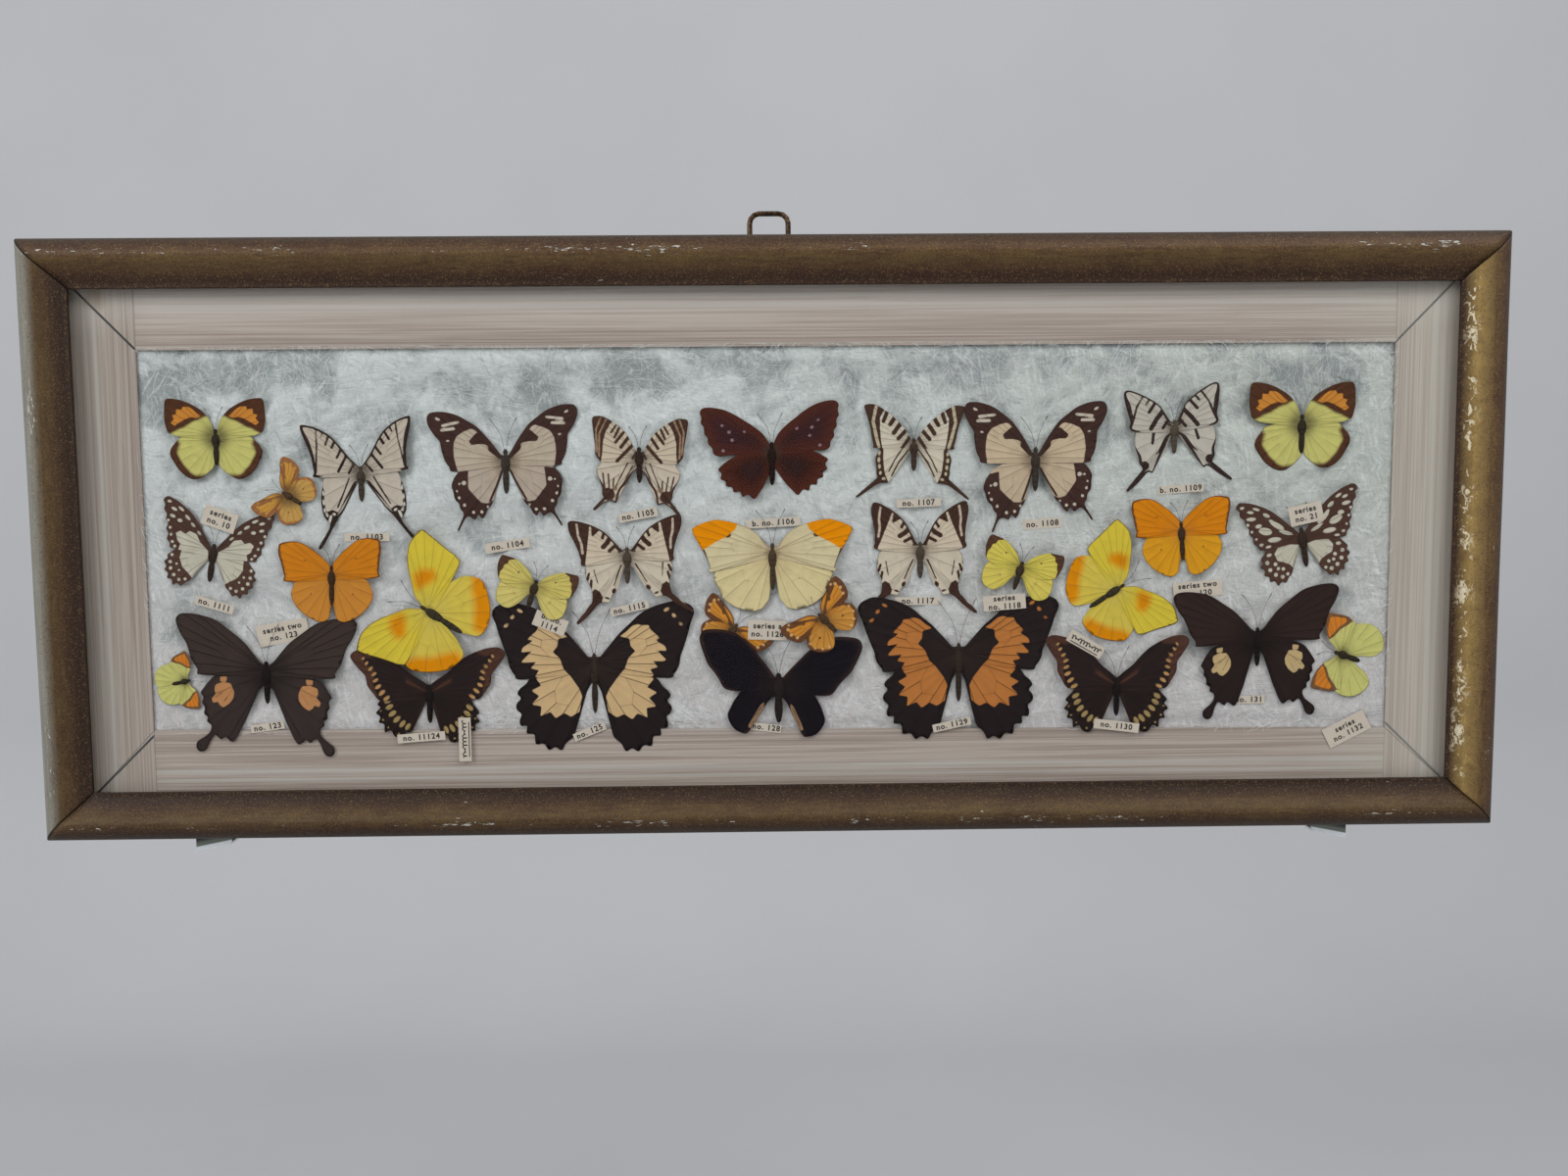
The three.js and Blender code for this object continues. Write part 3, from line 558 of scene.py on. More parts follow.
def wisp_mesh(name, count, steps):
    """Loose fibres: each a flat ribbon that starts on the wadding and turns as it goes. Those that reach
    the opening's edge stray a little way over the mat."""
    start = np.stack([chance.uniform(-OPEN_SIDE, OPEN_SIDE, count), chance.uniform(-109, 107, count)], axis=1)
    swirl = 1.5 + np.sin(start[:, 0] / 37) * 0.8 + np.cos(start[:, 1] / 23 + start[:, 0] / 61) * 0.8
    heading = swirl[:, None] + chance.normal(0, 0.45, (count, 1))
    heading = heading + chance.normal(0, 0.11, (count, 1)) * np.arange(steps)
    pace = chance.uniform(0.9, 3.0, (count, 1, 1))
    way = np.stack([np.cos(heading), np.sin(heading)], axis=-1)
    line = start[:, None] + np.cumsum(way * pace, axis=1)
    low = -111 - 3 * line[..., 0] / OPEN_SIDE
    line = np.stack([np.clip(line[..., 0], -352.5, 352.5), np.clip(line[..., 1], low, 108.5)], axis=-1)
    across = np.stack([-way[..., 1], way[..., 0]], axis=-1)
    taper = np.sin(np.linspace(0.15, math.pi - 0.15, steps))[None, :, None]
    width = chance.uniform(0.04, 0.11, (count, 1, 1)) * taper
    sides = np.stack([line - across * width, line + across * width], axis=2)
    x, z = sides[..., 0], sides[..., 1]
    afloat = wool_front(x, z) - FLOAT_GAP
    on_wool = (abs(x) < OPEN_SIDE - 1) & (z < OPEN_TOP) & (z > -OPEN_TOP - 1)
    depth = np.where(on_wool, afloat, np.minimum(afloat, OVER_MAT))
    points = np.stack([x, depth, z], axis=-1).reshape(-1, 3)
    index = np.arange(len(points)).reshape(count, steps, 2)
    corners = [index[:, :-1, 0], index[:, 1:, 0], index[:, 1:, 1], index[:, :-1, 1]]
    return mesh_of(name, points, [np.stack(corners, axis=-1).reshape(-1, 4)], smooth=False)


def cotton_tone(*colour):
    return linear(*colour, 0.93)


wadding = Paint("cotton_wool", roughness=0.95)


def combed(angle, across, along):
    """Hairs that lie side by side, turned by angle from upright, as noise drawn out along them."""
    leaning = wadding.make("ShaderNodeVectorRotate", {"rotation_type": "Y_AXIS"},
                           Vector=wadding.place(), Angle=angle)
    drawn_out = wadding.make("ShaderNodeVectorMath", {"operation": "MULTIPLY"})
    wadding.feed(drawn_out.inputs[0], leaning.outputs[0])
    wadding.feed(drawn_out.inputs[1], (1 / across, 1 / across, 1 / along))
    return wadding.noise(1.0, 3, drawn_out.outputs[0], distortion=0.7, roughness=0.6)


x, _, z = wadding.axes()
tuft = wadding.noise(30, 2, distortion=0.9)
puff = wadding.noise(1.0, 3, (15, 15, 9), distortion=1.3)
stroke = wadding.noise(1.0, 4, (11, 11, 2.8), distortion=1.6)
thread = wadding.noise(1.0, 4, (6, 6, 0.7), distortion=2.4, roughness=0.7)
lowness = z.above(20, 75) * 0.34 + x.above(-230, -110) * 0.12 - z.above(-20, -60) * 0.10
# Painted shade in the hollows, over the thinner wadding there: grey-green where the loft is low.
hollow = (lowness + 0.75 - wadding.attribute("loft") - (tuft - 0.5) * 1.4 - (puff - 0.5) * 0.8
          - (stroke - 0.5) * 0.5).above(0.42, 0.6)
cool = wadding.mix(x.above(-40, 300), cotton_tone(187, 192, 190), cotton_tone(173, 177, 170))
white = wadding.mix(z.above(-80, 120), cotton_tone(181, 175, 174), cool)
wool = wadding.mix(hollow * 0.9, white, cotton_tone(130, 136, 135))
wool = wadding.mix(thread.above(0.5, 0.3) * 0.3, wool, cotton_tone(204, 205, 206))
# Painted highlights and painted shade along combed hairs.
for angle, lie in ((0.2, puff.above(0.40, 0.12)), (-0.6, puff.above(0.52, -0.12)),
                   (0.95, tuft.above(0.5, 0.1))):
    lit = combed(angle, 2.0, 20).above(0.52, 0.12) * lie
    wool = wadding.mix(lit * 0.46, wool, cotton_tone(213, 215, 214))
    shaded = combed(angle + 0.25, 1.7, 15).above(0.46, -0.12) * lie
    wool = wadding.mix(shaded * 0.34, wool, cotton_tone(128, 133, 133))
wool = wadding.mix(stroke.above(0.48, -0.24) * 0.22, wool, cotton_tone(146, 150, 151))
wadding.set(Base_Color=wool)
wadding.shader.inputs["Sheen Weight"].default_value = 0.15
wadding.bump(puff + stroke * 0.3 + thread * 0.2, 1.4)
batting = add_object("cotton_sheet", quilt_mesh("cotton_sheet", 388, 144), wadding.material)
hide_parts("cotton_batting")

strand = Paint("cotton_fibre", roughness=0.9)
strand.set(Base_Color=strand.mix(strand.noise(12), cotton_tone(194, 196, 193), cotton_tone(216, 217, 214)))
strand.bump(strand.noise(0.3), 0.02)
wisps = add_object("cotton_wisps", wisp_mesh("cotton_wisps", 11000, 8), strand.material)
for piece in (batting, wisps):
    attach(piece, "case")

# ---- Butterflies ----
# Thirty-two spread specimens, relaxed, set and dried, and laid in three rows on the cotton without pins.
# Each is two pairs of wings dusted with scales, a furred body and two feelers. A kind is drawn once, its
# right side only, head up, as x and z in millimetres from the middle of the thorax.
LAYER_FRONT, LAYER_STEP = -15.7, 0.7
OUTSIDE = -9.0


def outline(*numbers):
    """Points from x, z, x, z and so on."""
    return np.array(numbers, float).reshape(-1, 2)


def patch(*numbers):
    return "patch", outline(*numbers)


def bar(width, *numbers):
    return "bar", outline(*numbers), width


def dot(x, z, across, up=None, tilt=0):
    return "dot", x, z, across / 2, (up or across) / 2, math.radians(tilt)


def dots(*spots):
    return [dot(*spot) for spot in spots]


def rim(*numbers):
    """A margin band: fraction of the way round the wing's edge, width there, and so on."""
    return "rim", outline(*numbers)


def distance_to_line(where, line):
    """Shortest distance from each point to a polyline."""
    start, step = line[:-1], np.diff(line, axis=0)
    reach = where[:, None] - start
    share = np.clip((reach * step).sum(-1) / np.maximum((step ** 2).sum(-1), 1e-9), 0, 1)
    return np.sqrt(((reach - share[..., None] * step) ** 2).sum(-1)).min(1)


def inside_by(where, shape):
    """Distance to a closed outline, positive inside it by the even-odd rule."""
    ring = np.concatenate([shape, shape[:1]])
    (x0, z0), (x1, z1) = ring[:-1].T, ring[1:].T
    x, z = where[:, :1], where[:, 1:]
    crosses = ((z0 > z) != (z1 > z)) & (x < (x1 - x0) * (z - z0) / np.where(z1 == z0, 1e-9, z1 - z0) + x0)
    return np.where(crosses.sum(1) % 2 == 1, 1, -1) * distance_to_line(where, ring)


def mark_depth(shapes, where, around, edge):
    """How far each point of a wing lies inside the marks, in millimetres; negative outside them."""
    deep = np.full(len(where), OUTSIDE)
    for kind, *facts in shapes:
        if kind == "patch":
            depth = inside_by(where, facts[0])
        elif kind == "bar":
            depth = facts[1] / 2 - distance_to_line(where, facts[0])
        elif kind == "dot":
            x, z, half_across, half_up, tilt = facts
            dx, dz = where[:, 0] - x, where[:, 1] - z
            along, off = dx * math.cos(tilt) + dz * math.sin(tilt), dz * math.cos(tilt) - dx * math.sin(tilt)
            depth = (1 - np.hypot(along / half_across, off / half_up)) * min(half_across, half_up)
        else:
            depth = np.interp(around, facts[0][:, 0], facts[0][:, 1]) - edge
        deep = np.maximum(deep, depth)
    return deep


def vein_facts(edge_line, root, first, last, count, where, around):
    """Distance to the nearest vein, whose sign changes at each vein, and distance into the cell, the closed
    area that the veins spring from. Veins run straight from the root to points evenly spaced on the edge."""
    stops = np.linspace(first, last, count)
    way_round = np.linspace(0, 1, len(edge_line))
    ends = np.stack([np.interp(stops, way_round, edge_line[:, axis]) for axis in (0, 1)], axis=1)
    near = np.min([distance_to_line(where, np.stack([root, end])) for end in ends], axis=0)
    side = np.where((around[:, None] > stops).sum(1) % 2 == 1, -1, 1)
    reach = np.array([0.42, 0.52, 0.56, 0.5])[:, None]
    cell = np.concatenate([[root], root + (ends[1:5] - root) * reach])
    return near * side, inside_by(where, cell)


# Rows of points from a wing's root to its edge, points round the edge and across the root, and veins.
ROWS, ROUND, CLOSING, VEINS = 38, 112, 8, 7


def wing(shape, root, first, last, count, marks, neck):
    """The wing's skin and its marks. Points run from the root to the edge,
    P(u, v) = root + v (edge(u) - root), and those of a tail bend at its neck, so that the tail may be
    broader than the neck it hangs from. The front is gently ribbed along the veins."""
    root = np.array(root, float)
    edge_line = through(shape, ROUND)
    ring = np.concatenate([edge_line, np.linspace(edge_line[-1], edge_line[0], CLOSING + 2)[1:-1]])
    v = np.linspace(0, 1, ROWS)[1:, None, None] ** 0.85
    gate = ring.copy()
    if neck:
        near, far = (int(np.hypot(*(edge_line - side).T).argmin()) for side in outline(*neck))
        gate[near:far + 1] = np.linspace(edge_line[near], edge_line[far], far - near + 1)
    to_gate, past_gate = (np.linalg.norm(leg, axis=1)[:, None] for leg in (gate - root, ring - gate))
    share = to_gate / (to_gate + past_gate)
    beyond = np.maximum(v - share, 0) / np.maximum(1 - share, 1e-9)
    face = root + np.minimum(v / share, 1) * (gate - root) + beyond * (ring - gate)
    where = face.reshape(-1, 2)
    around = np.tile(np.concatenate([np.linspace(0, 1, ROUND), np.ones(CLOSING)]), ROWS - 1)
    edge = distance_to_line(where, edge_line)
    edge[-len(ring):] = 0
    veins, cell = vein_facts(edge_line, root, first, last, count, where, around)
    facts = {"edge": edge, "vein": veins, "cell": cell, "around": around * 100, "reach": np.hypot(*where.T)}
    for name, shapes in marks.items():
        facts[name] = mark_depth(shapes, where, around, edge)
    height = 0.10 * np.cos(np.minimum(abs(veins), 2.5) / 2.5 * math.pi)
    height += 0.05 * np.sin(where[:, 0] / 4.1 + where[:, 1] / 5.3)
    height *= np.minimum(edge / 1.5, 1)
    return dict(face=face, root=root, height=height.reshape(face.shape[:2]), facts=facts)


# Each kind has the outlines of both right wings, from the front of the root round to its back, screen
# colours, where the fore wing's tip lies along its edge, and where the head and tail end. Strengths say how
# far the veins, rays, soot by the root and soft edges of the marks show. The marks are sorted by wing and
# layer, and a layer covers the ones before it: dark, light, over.
KINDS = {}
KINDS["ixias"] = dict(
    fore=outline(0, 3, 1, 4, 2, 7.5, 4, 11.5, 8, 16, 13.5, 19.5, 19.5, 22, 25.5, 23, 28.5, 22.5, 29.5, 20,
        30, 12, 29.5, 7.5, 28, 3, 25, 1.5, 21.5, 0.5, 0, -2),
    hind=outline(0, 2, 12, 1.5, 20, 0.5, 22.5, -1.5, 26.5, -6, 27.5, -10, 25.5, -14.5, 22.5, -19.5,
        18, -23.5, 13.5, -25, 9.5, -24, 4, -20, 1.5, -16.5, 0, -8),
    tip=0.42, ground=(190, 184, 108), hind_ground=(190, 184, 108), dark=(62, 37, 24), light=(196, 128, 52),
    vein=0.2, body=(58, 50, 38), head=5, tail=-17, soot=5, feather=1.6,
    marks=dict(
        fore_dark=[patch(6, 12, 9, 10.5, 13, 9, 18, 6, 22, 4.4, 25, 2.8, 28, 1, 34, 0, 34, 28, 10, 25,
            3, 13)],
        fore_light=[patch(8.5, 12.4, 12, 15.8, 15, 17.8, 18.6, 18.1, 19.4, 16.2, 22.6, 16.6, 22.6, 13.8,
            25.2, 13, 24, 10.8, 26.2, 8.8, 24, 7, 21, 9, 17.5, 11, 13.5, 12.2, 11, 11.4)],
        fore_over=[dot(15.4, 10.8, 2, 1.4, -25)],
        hind_dark=[rim(0.29, 0, 0.34, 2.6, 0.43, 4.6, 0.6, 4.4, 0.7, 2.6, 0.8, 0)]))
KINDS["smallOrange"] = dict(
    fore=outline(0, 3, 1, 2.5, 3.5, 6, 7.5, 8.5, 13, 10.5, 17.5, 12.5, 21.5, 12.5, 22.5, 8, 21.5, 3.5,
        19.5, 0, 15.5, -1.5, 0, -2),
    hind=outline(0, 2, 12, 0.5, 16.5, -4, 17.5, -7.5, 15.5, -11.5, 12.5, -14.5, 8, -16, 4, -13.5, 1.5, -9.5,
        0, -6),
    tip=0.45, ground=(198, 130, 46), hind_ground=(192, 134, 58), dark=(84, 52, 32), light=(206, 166, 112),
    vein=0.45, body=(84, 64, 44), head=4, tail=-11, soot=3,
    marks=dict(
        fore_dark=[rim(0.1, 0.4, 0.33, 0.8, 0.4, 3.4, 0.62, 3.2, 0.72, 1.6, 0.8, 0), dot(10, 6, 2.4)],
        fore_light=dots((18.5, 9.5, 1.6), (19.3, 6, 1.6), (18, 2.5, 1.6), (16.5, 11, 1.2)),
        hind_dark=[rim(0.15, 0, 0.25, 1.6, 0.6, 2.0, 0.75, 0), dot(9, -6.5, 1.2)],
        hind_light=dots((15.3, -5, 1.3), (15, -9, 1.3), (12.2, -12.3, 1.3), (8.6, -14, 1.3))))
KINDS["kite"] = dict(
    fore=outline(0, 3, 1.5, 5, 5.5, 10.5, 10.5, 19.5, 14.5, 24.5, 20.5, 29, 27, 31.5, 28.5, 30.5, 28, 25.5,
        26.5, 19, 25.5, 12.5, 25.5, 5, 24.5, 1.5, 0, -2),
    hind=outline(0, 2, 12, 2, 20, 1, 23, -6, 24.5, -12.5, 24.5, -20.5, 22, -26, 26, -32, 30.5, -37.5,
        29, -38.4, 24, -32.5, 20, -27, 17, -23.5, 13, -19, 3.5, -6),
    tip=0.47, ground=(184, 171, 155), hind_ground=(184, 172, 158), dark=(38, 28, 24), light=(198, 190, 176),
    vein=0.32, body=(78, 68, 58), head=4, tail=-16, soot=4,
    marks=dict(
        fore_dark=[rim(0.05, 0.7, 0.4, 1.0, 0.48, 2.2, 0.66, 1.4, 0.72, 1.4, 0.76, 0),
            bar(0.9, 20, 28.5, 21.2, 19, 24.5, 4), bar(1.3, 13.5, 23.5, 16.5, 18.5),
            bar(1.5, 10.8, 20, 13.2, 16.5), bar(1.4, 7.8, 15.5, 11.5, 10.5), bar(1.5, 5.8, 11, 12, 3),
            bar(1.2, 2.5, 6, 6.5, 1), bar(0.8, 16.5, 26, 18, 23)],
        hind_dark=[bar(1.0, 3.5, -6, 8, -12, 13, -19, 18, -23), bar(0.8, 7, -2, 11, -9, 16, -17),
            patch(24.5, -19, 19, -18, 16, -20, 20, -26, 24, -33, 29, -39, 31, -37.5, 26, -31, 23, -26),
            rim(0.24, 0, 0.28, 1.6, 0.36, 1.8, 0.44, 2.2, 0.52, 1.2, 0.6, 0.8, 0.72, 0)],
        hind_light=[bar(1.1, 20.6, -21.4, 23, -26.4, 26.6, -32), *dots((18.6, -20.4, 2, 1.2, 30),
            (22.6, -20.2, 1.2, 2), (22.6, -8, 0.9, 2.4), (23.3, -13, 0.9, 2.6), (23.5, -17.4, 0.9, 2))]))
KINDS["mocker"] = dict(
    fore=outline(0, 4, 2, 4, 6.5, 11.5, 10, 16.5, 13.5, 21, 18.5, 25, 23.5, 28.5, 28.5, 30.5, 33, 31.5,
        37.5, 31.5, 39.5, 30.5, 40.5, 28, 40, 24, 37.5, 19, 35, 15, 34.5, 10, 33.5, 4.5, 31.5, 0.5, 28, -2.5,
        0, -2),
    hind=outline(0, 3, 14, 2, 24, -1, 28, -4.5, 30, -7, 31.5, -10.5, 31, -13.5, 30.5, -18, 28.5, -21,
        28, -24, 26.6, -26, 27.2, -28.4, 28.8, -31.4, 31, -35.4, 30.2, -35.9, 27.6, -31.8, 25.6, -29.2,
        23.5, -28.5, 20.5, -30.5, 18.5, -27.8, 16.5, -30.5, 14.5, -28.5, 13.5, -25.5, 10, -22.5, 6, -11.5,
        3, -4.5, 0, -4),
    tip=0.5, ground=(178, 163, 144), hind_ground=(172, 157, 142), dark=(50, 33, 29), light=(194, 182, 166),
    vein=0.35, body=(70, 60, 52), head=7, tail=-18, soot=5, fade=(172, 146, 118),
    neck=(26.9, -27.6, 25, -28.9),
    marks=dict(
        fore_dark=[patch(13.3, 18.9, 16.8, 20.3, 21.4, 19, 25.2, 17, 27.2, 13.9, 28, 10, 28.3, 5.4, 27, -4,
            40, -4, 46, 36, 20, 34, 9, 20), rim(0.02, 1.2, 0.3, 2.2, 0.45, 4, 0.5, 3, 0.72, 2, 0.745, 0),
            patch(11, 18, 14.5, 17.4, 18.7, 13.5, 17.6, 11.2, 13.5, 11.4, 9.8, 10.6, 6.8, 9.2, 4, 7, 3, 8,
            7, 14)],
        fore_light=[bar(1.3, 23.5, 24.6, 32.2, 23.6), bar(1.4, 26.3, 21.4, 33, 21.2),
            *dots((34.5, 27.6, 2.6, 1.2, 30), (30.4, 15, 1.6, 1))],
        hind_dark=[patch(21.4, -3, 22, -7.7, 22.5, -13, 19.1, -17.7, 16, -21.5, 12.1, -22.3, 8, -20, 10, -26,
            32, -40, 36, -20, 34, -4), bar(1.1, 2.5, -5, 6.5, -13, 11, -21)],
        hind_light=dots((24.5, -9.6, 2.2), (29.2, -13.8, 1.5), (28.2, -17.6, 1.6), (25.6, -21.9, 1.6),
            (16.4, -26.6, 1.6), (21, -26.4, 1.7), (27.2, -9.8, 1.2), (12.8, -24, 1.2))))
KINDS["zebra"] = dict(
    fore=outline(0, 4, 2, 4, 4.5, 7.5, 7.5, 12.5, 11.5, 16, 16, 19, 20.5, 21, 24, 21.2, 26.5, 20, 26, 15.5,
        25, 10, 24, 4.5, 23.5, 0.5, 21.5, -2, 19, -3, 0, -2),
    hind=outline(0, 2, 12, 1, 18, -1, 20.5, -5.5, 22, -8, 21, -11.5, 19, -15.5, 18, -17.5, 17.5, -21,
        16.5, -23.5, 18.5, -27, 21.5, -29.5, 20.2, -30.4, 17, -27, 14.5, -25, 12.5, -24, 9.5, -25, 9.5, -23,
        8.5, -17.5, 5.5, -13, 3.5, -9, 0, -5),
    tip=0.46, ground=(194, 178, 156), hind_ground=(192, 178, 160), dark=(56, 38, 30), light=(150, 122, 98),
    vein=0.45, body=(58, 44, 38), head=6.5, tail=-13, soot=3,
    marks=dict(
        fore_dark=[patch(14.5, 20, 17.2, 17, 19, 13, 20, 8, 20, 2, 20.5, -4, 30, -4, 30, 26, 14, 24),
            bar(1.8, 3.5, 7.8, 7, 3.6, 11.8, -2), bar(1.7, 6.5, 11.2, 10.2, 5.5), bar(1.5, 9, 14, 13.2, 8),
            bar(1.2, 11.7, 16, 14, 10.5), bar(1.1, 13.6, 17.2, 16, 13), bar(1.1, 1.2, 5, 3.6, 0)],
        fore_light=[bar(0.7, 19, 20, 22.3, 12, 21.6, 0), bar(0.7, 22, 20.4, 24.2, 14, 23, 2)],
        hind_dark=[bar(0.8, 14, -18, 15.5, -10), bar(0.8, 16.5, -18, 18.5, -10),
            bar(0.8, 12, -18, 12.3, -12), bar(0.6, 3, -4, 9.5, -21), bar(0.6, 5.5, -2, 11.5, -18),
            bar(2.2, 17, -24, 21.4, -30.4), rim(0.34, 0, 0.4, 1.0, 0.52, 1.2, 0.6, 0.6),
            dot(14.5, -20.8, 7.5, 6.5)],
        hind_light=[dot(11, -17.2, 2.6)]))
KINDS["scalloped"] = dict(
    fore=outline(0, 4, 1, 5, 4, 10.5, 9, 15.5, 13.5, 19, 18, 22.5, 24, 26, 30.5, 28, 35.5, 28.2, 37.5, 26,
        37, 23, 37.6, 20, 36.2, 17.5, 36.4, 14, 34.8, 11.5, 35, 8.5, 33, 5.5, 32.4, 2.2, 29, 0.5, 23.5, 0.5,
        0, -2),
    hind=outline(0, 3, 14, 2.5, 24, 0, 29, -2.5, 31.4, -4.5, 30, -7, 31, -9.8, 28.5, -11.5, 28.6, -14.2,
        25.6, -15.4, 25, -18.4, 21.6, -18.6, 20.6, -21.8, 17.4, -21.2, 14.5, -24.2, 11.5, -21.8, 7.5, -17.5,
        3.5, -12, 0, -7),
    tip=0.5, ground=(54, 30, 32), hind_ground=(50, 24, 17), dark=(38, 22, 20), light=(140, 112, 118),
    vein=0.35, body=(42, 28, 23), head=5.5, tail=-19, soot=4, rust=(80, 39, 26), feather=5,
    marks=dict(
        fore_dark=[dot(12, 8, 9, 5, 40)],
        fore_light=dots((22.5, 13.5, 1.8), (14, 12.8, 1.5), (21.3, 8.9, 1.6), (27, 3.5, 1.6),
            (26, 17.5, 1.4)),
        hind_dark=[patch(4, -2, 18, -3, 20, -8, 14, -16, 6, -12)]))
KINDS["banded"] = dict(
    fore=outline(0, 2.5, 2, 2.5, 4, 7, 7, 11, 11.5, 15.5, 16, 19, 21, 22, 24.5, 22.6, 27.5, 22, 27.5, 20,
        26, 15.5, 24.5, 10, 23.5, 4, 22.5, 0, 21, -2, 0, -2),
    hind=outline(0, 2, 12, 1, 18, -1, 19.5, -3.5, 21, -6, 21.5, -8.5, 21, -13, 21, -16, 20.6, -18.6,
        22.6, -21.2, 26.4, -24.2, 32.3, -28.4, 31.6, -29.4, 25.6, -25.4, 21.4, -22.6, 18.5, -21.5, 14, -21,
        13, -18, 10, -12.5, 6, -7, 0, -4),
    tip=0.47, ground=(198, 187, 168), hind_ground=(198, 187, 168), dark=(54, 38, 30), light=(182, 168, 142),
    vein=0.3, body=(76, 60, 50), head=3.5, tail=-15, soot=3,
    marks=dict(
        fore_dark=[patch(16.5, 19.5, 19, 15, 19, 9, 18.5, 3, 17.5, -3, 30, -4, 30, 26, 15, 24),
            bar(2.1, 15, 18, 17, 13), bar(2.3, 10.7, 15, 13.2, 11.2), bar(2.4, 7.5, 11.5, 11.2, 6.5),
            bar(2.1, 4.8, 7.4, 8.7, 3.2), bar(1.9, 2.2, 4.2, 6.8, -2.4)],
        fore_light=[bar(1.5, 21, 21.2, 22.8, 13, 20.8, 3.5, 19.6, -1)],
        hind_dark=[patch(17, 0, 17.2, -8, 16.4, -16, 14, -22, 20, -24, 33, -31, 34, -28, 24, -20, 24, -8,
            21, -1), bar(0.8, 3, -3, 8.5, -10, 12.5, -17.5), bar(0.7, 5.5, -1, 11, -9, 14, -15)],
        hind_light=dots((19.4, -4.6, 1.3, 2.2), (19.6, -8.4, 1.4, 2.3), (19.3, -12.2, 1.4, 2.3),
            (18.8, -15.8, 1.4, 2), (16.9, -19, 2, 1.4))))
KINDS["striped"] = dict(
    fore=outline(0, 4, 2.5, 4, 6, 8.5, 8, 12.5, 12, 15.5, 16.5, 18, 21, 20, 26, 21.5, 28.5, 20.5, 28.5, 17,
        27, 11, 25, 4.5, 23, -1.5, 0, -2),
    hind=outline(0, 2, 12, 1, 20, -0.5, 22, -3.5, 22, -10, 20, -15.5, 19.6, -19, 17.6, -23, 21.4, -28.6,
        26.3, -33.6, 25.3, -34.8, 19.5, -29.5, 14.5, -24, 12, -24.5, 9.5, -18.5, 6.5, -11.5, 3, -3.5, 0, -3),
    tip=0.5, ground=(180, 172, 160), hind_ground=(180, 173, 162), dark=(42, 31, 28), light=(190, 186, 172),
    vein=0.3, body=(96, 84, 70), head=5, tail=-14, soot=3,
    marks=dict(
        fore_dark=[rim(0.03, 0.5, 0.42, 0.9, 0.5, 2.6, 0.62, 2.2, 0.72, 0.8, 0.76, 0),
            bar(1.1, 18, 18.3, 21.5, 12, 23.4, 4), bar(1.2, 14.3, 16.6, 16.2, 13.6),
            bar(1.7, 11, 14.6, 14.5, 9.2), bar(2.5, 7, 9.6, 10.4, 5, 13.2, 0.2), bar(1.6, 3.6, 5, 6.4, 0.6)],
        hind_dark=[bar(1.6, 11.5, -1, 12.2, -8), rim(0.28, 0, 0.34, 1.4, 0.46, 2.2, 0.56, 2.6, 0.62, 1.2,
            0.75, 0.6), bar(2.4, 17.4, -23.5, 26, -34.4), dot(16.4, -20.6, 5)]))
KINDS["spotted"] = dict(
    fore=outline(0, 3, 1.5, 2.5, 5, 6.5, 9.5, 14, 15, 20, 21.5, 24.5, 26, 26.5, 29, 27, 31, 24.5, 29.6, 22.4,
        30, 19.5, 28.2, 17.4, 28.2, 14, 26.8, 12, 27.4, 9, 26, 6.6, 26.4, 3.6, 24.6, 1.4, 24, -1, 21, -1.5,
        0, -3),
    hind=outline(0, 2, 12, 1.5, 19, 0, 22.5, -3, 25, -5.4, 24.6, -7.4, 26.4, -9.4, 24.8, -11.6, 25.6, -14,
        23.4, -15.6, 23.6, -18.4, 21, -18.8, 20, -21.8, 17.6, -20.4, 15.5, -21.5, 13, -19, 10.5, -17,
        5, -6.5, 0, -5),
    tip=0.48, ground=(74, 52, 44), hind_ground=(78, 56, 46), dark=(52, 36, 30), light=(190, 184, 166),
    vein=0.2, body=(62, 48, 40), head=5, tail=-17, soot=2,
    marks=dict(
        fore_light=dots((27.6, 24, 2, 1.2), (20.5, 21.2, 3.2, 1.4, 30), (24, 20.5, 3, 1.3, 20),
            (24.6, 16.8, 4.6, 1.9, 10), (16, 16.5, 3.6, 1.9, 40), (27, 14.2, 1.5), (21.5, 12, 3.2, 1.9),
            (25.8, 10, 1.3), (11.8, 9.6, 8, 2.6, 45), (18.6, 8.2, 7, 3.6, 25), (8, 4.4, 6.4, 1.7, 30),
            (24.5, 5.4, 1.2), (15, 2.4, 6.4, 2.6, 10), (22.6, 1.6, 2, 1.4), (19.2, -0.4, 2.6, 1.2),
            (14, 12.4, 3, 1.6, 45)),
        hind_light=[patch(14.5, -2, 8, -2, 3, -4, 4.4, -10, 8.8, -16, 10.5, -12.5, 13.5, -10.2, 16.4, -8.6,
            17, -4.6), *dots((20, -4.2, 2.4, 1.6), (22.2, -8, 2), (21.8, -12.2, 2), (19.6, -15.6, 2),
            (16.4, -17.8, 2), (13.2, -17.2, 1.6), (18.2, -10, 1.9), (17.4, -12.8, 1.7), (14.8, -13.8, 1.7))]))
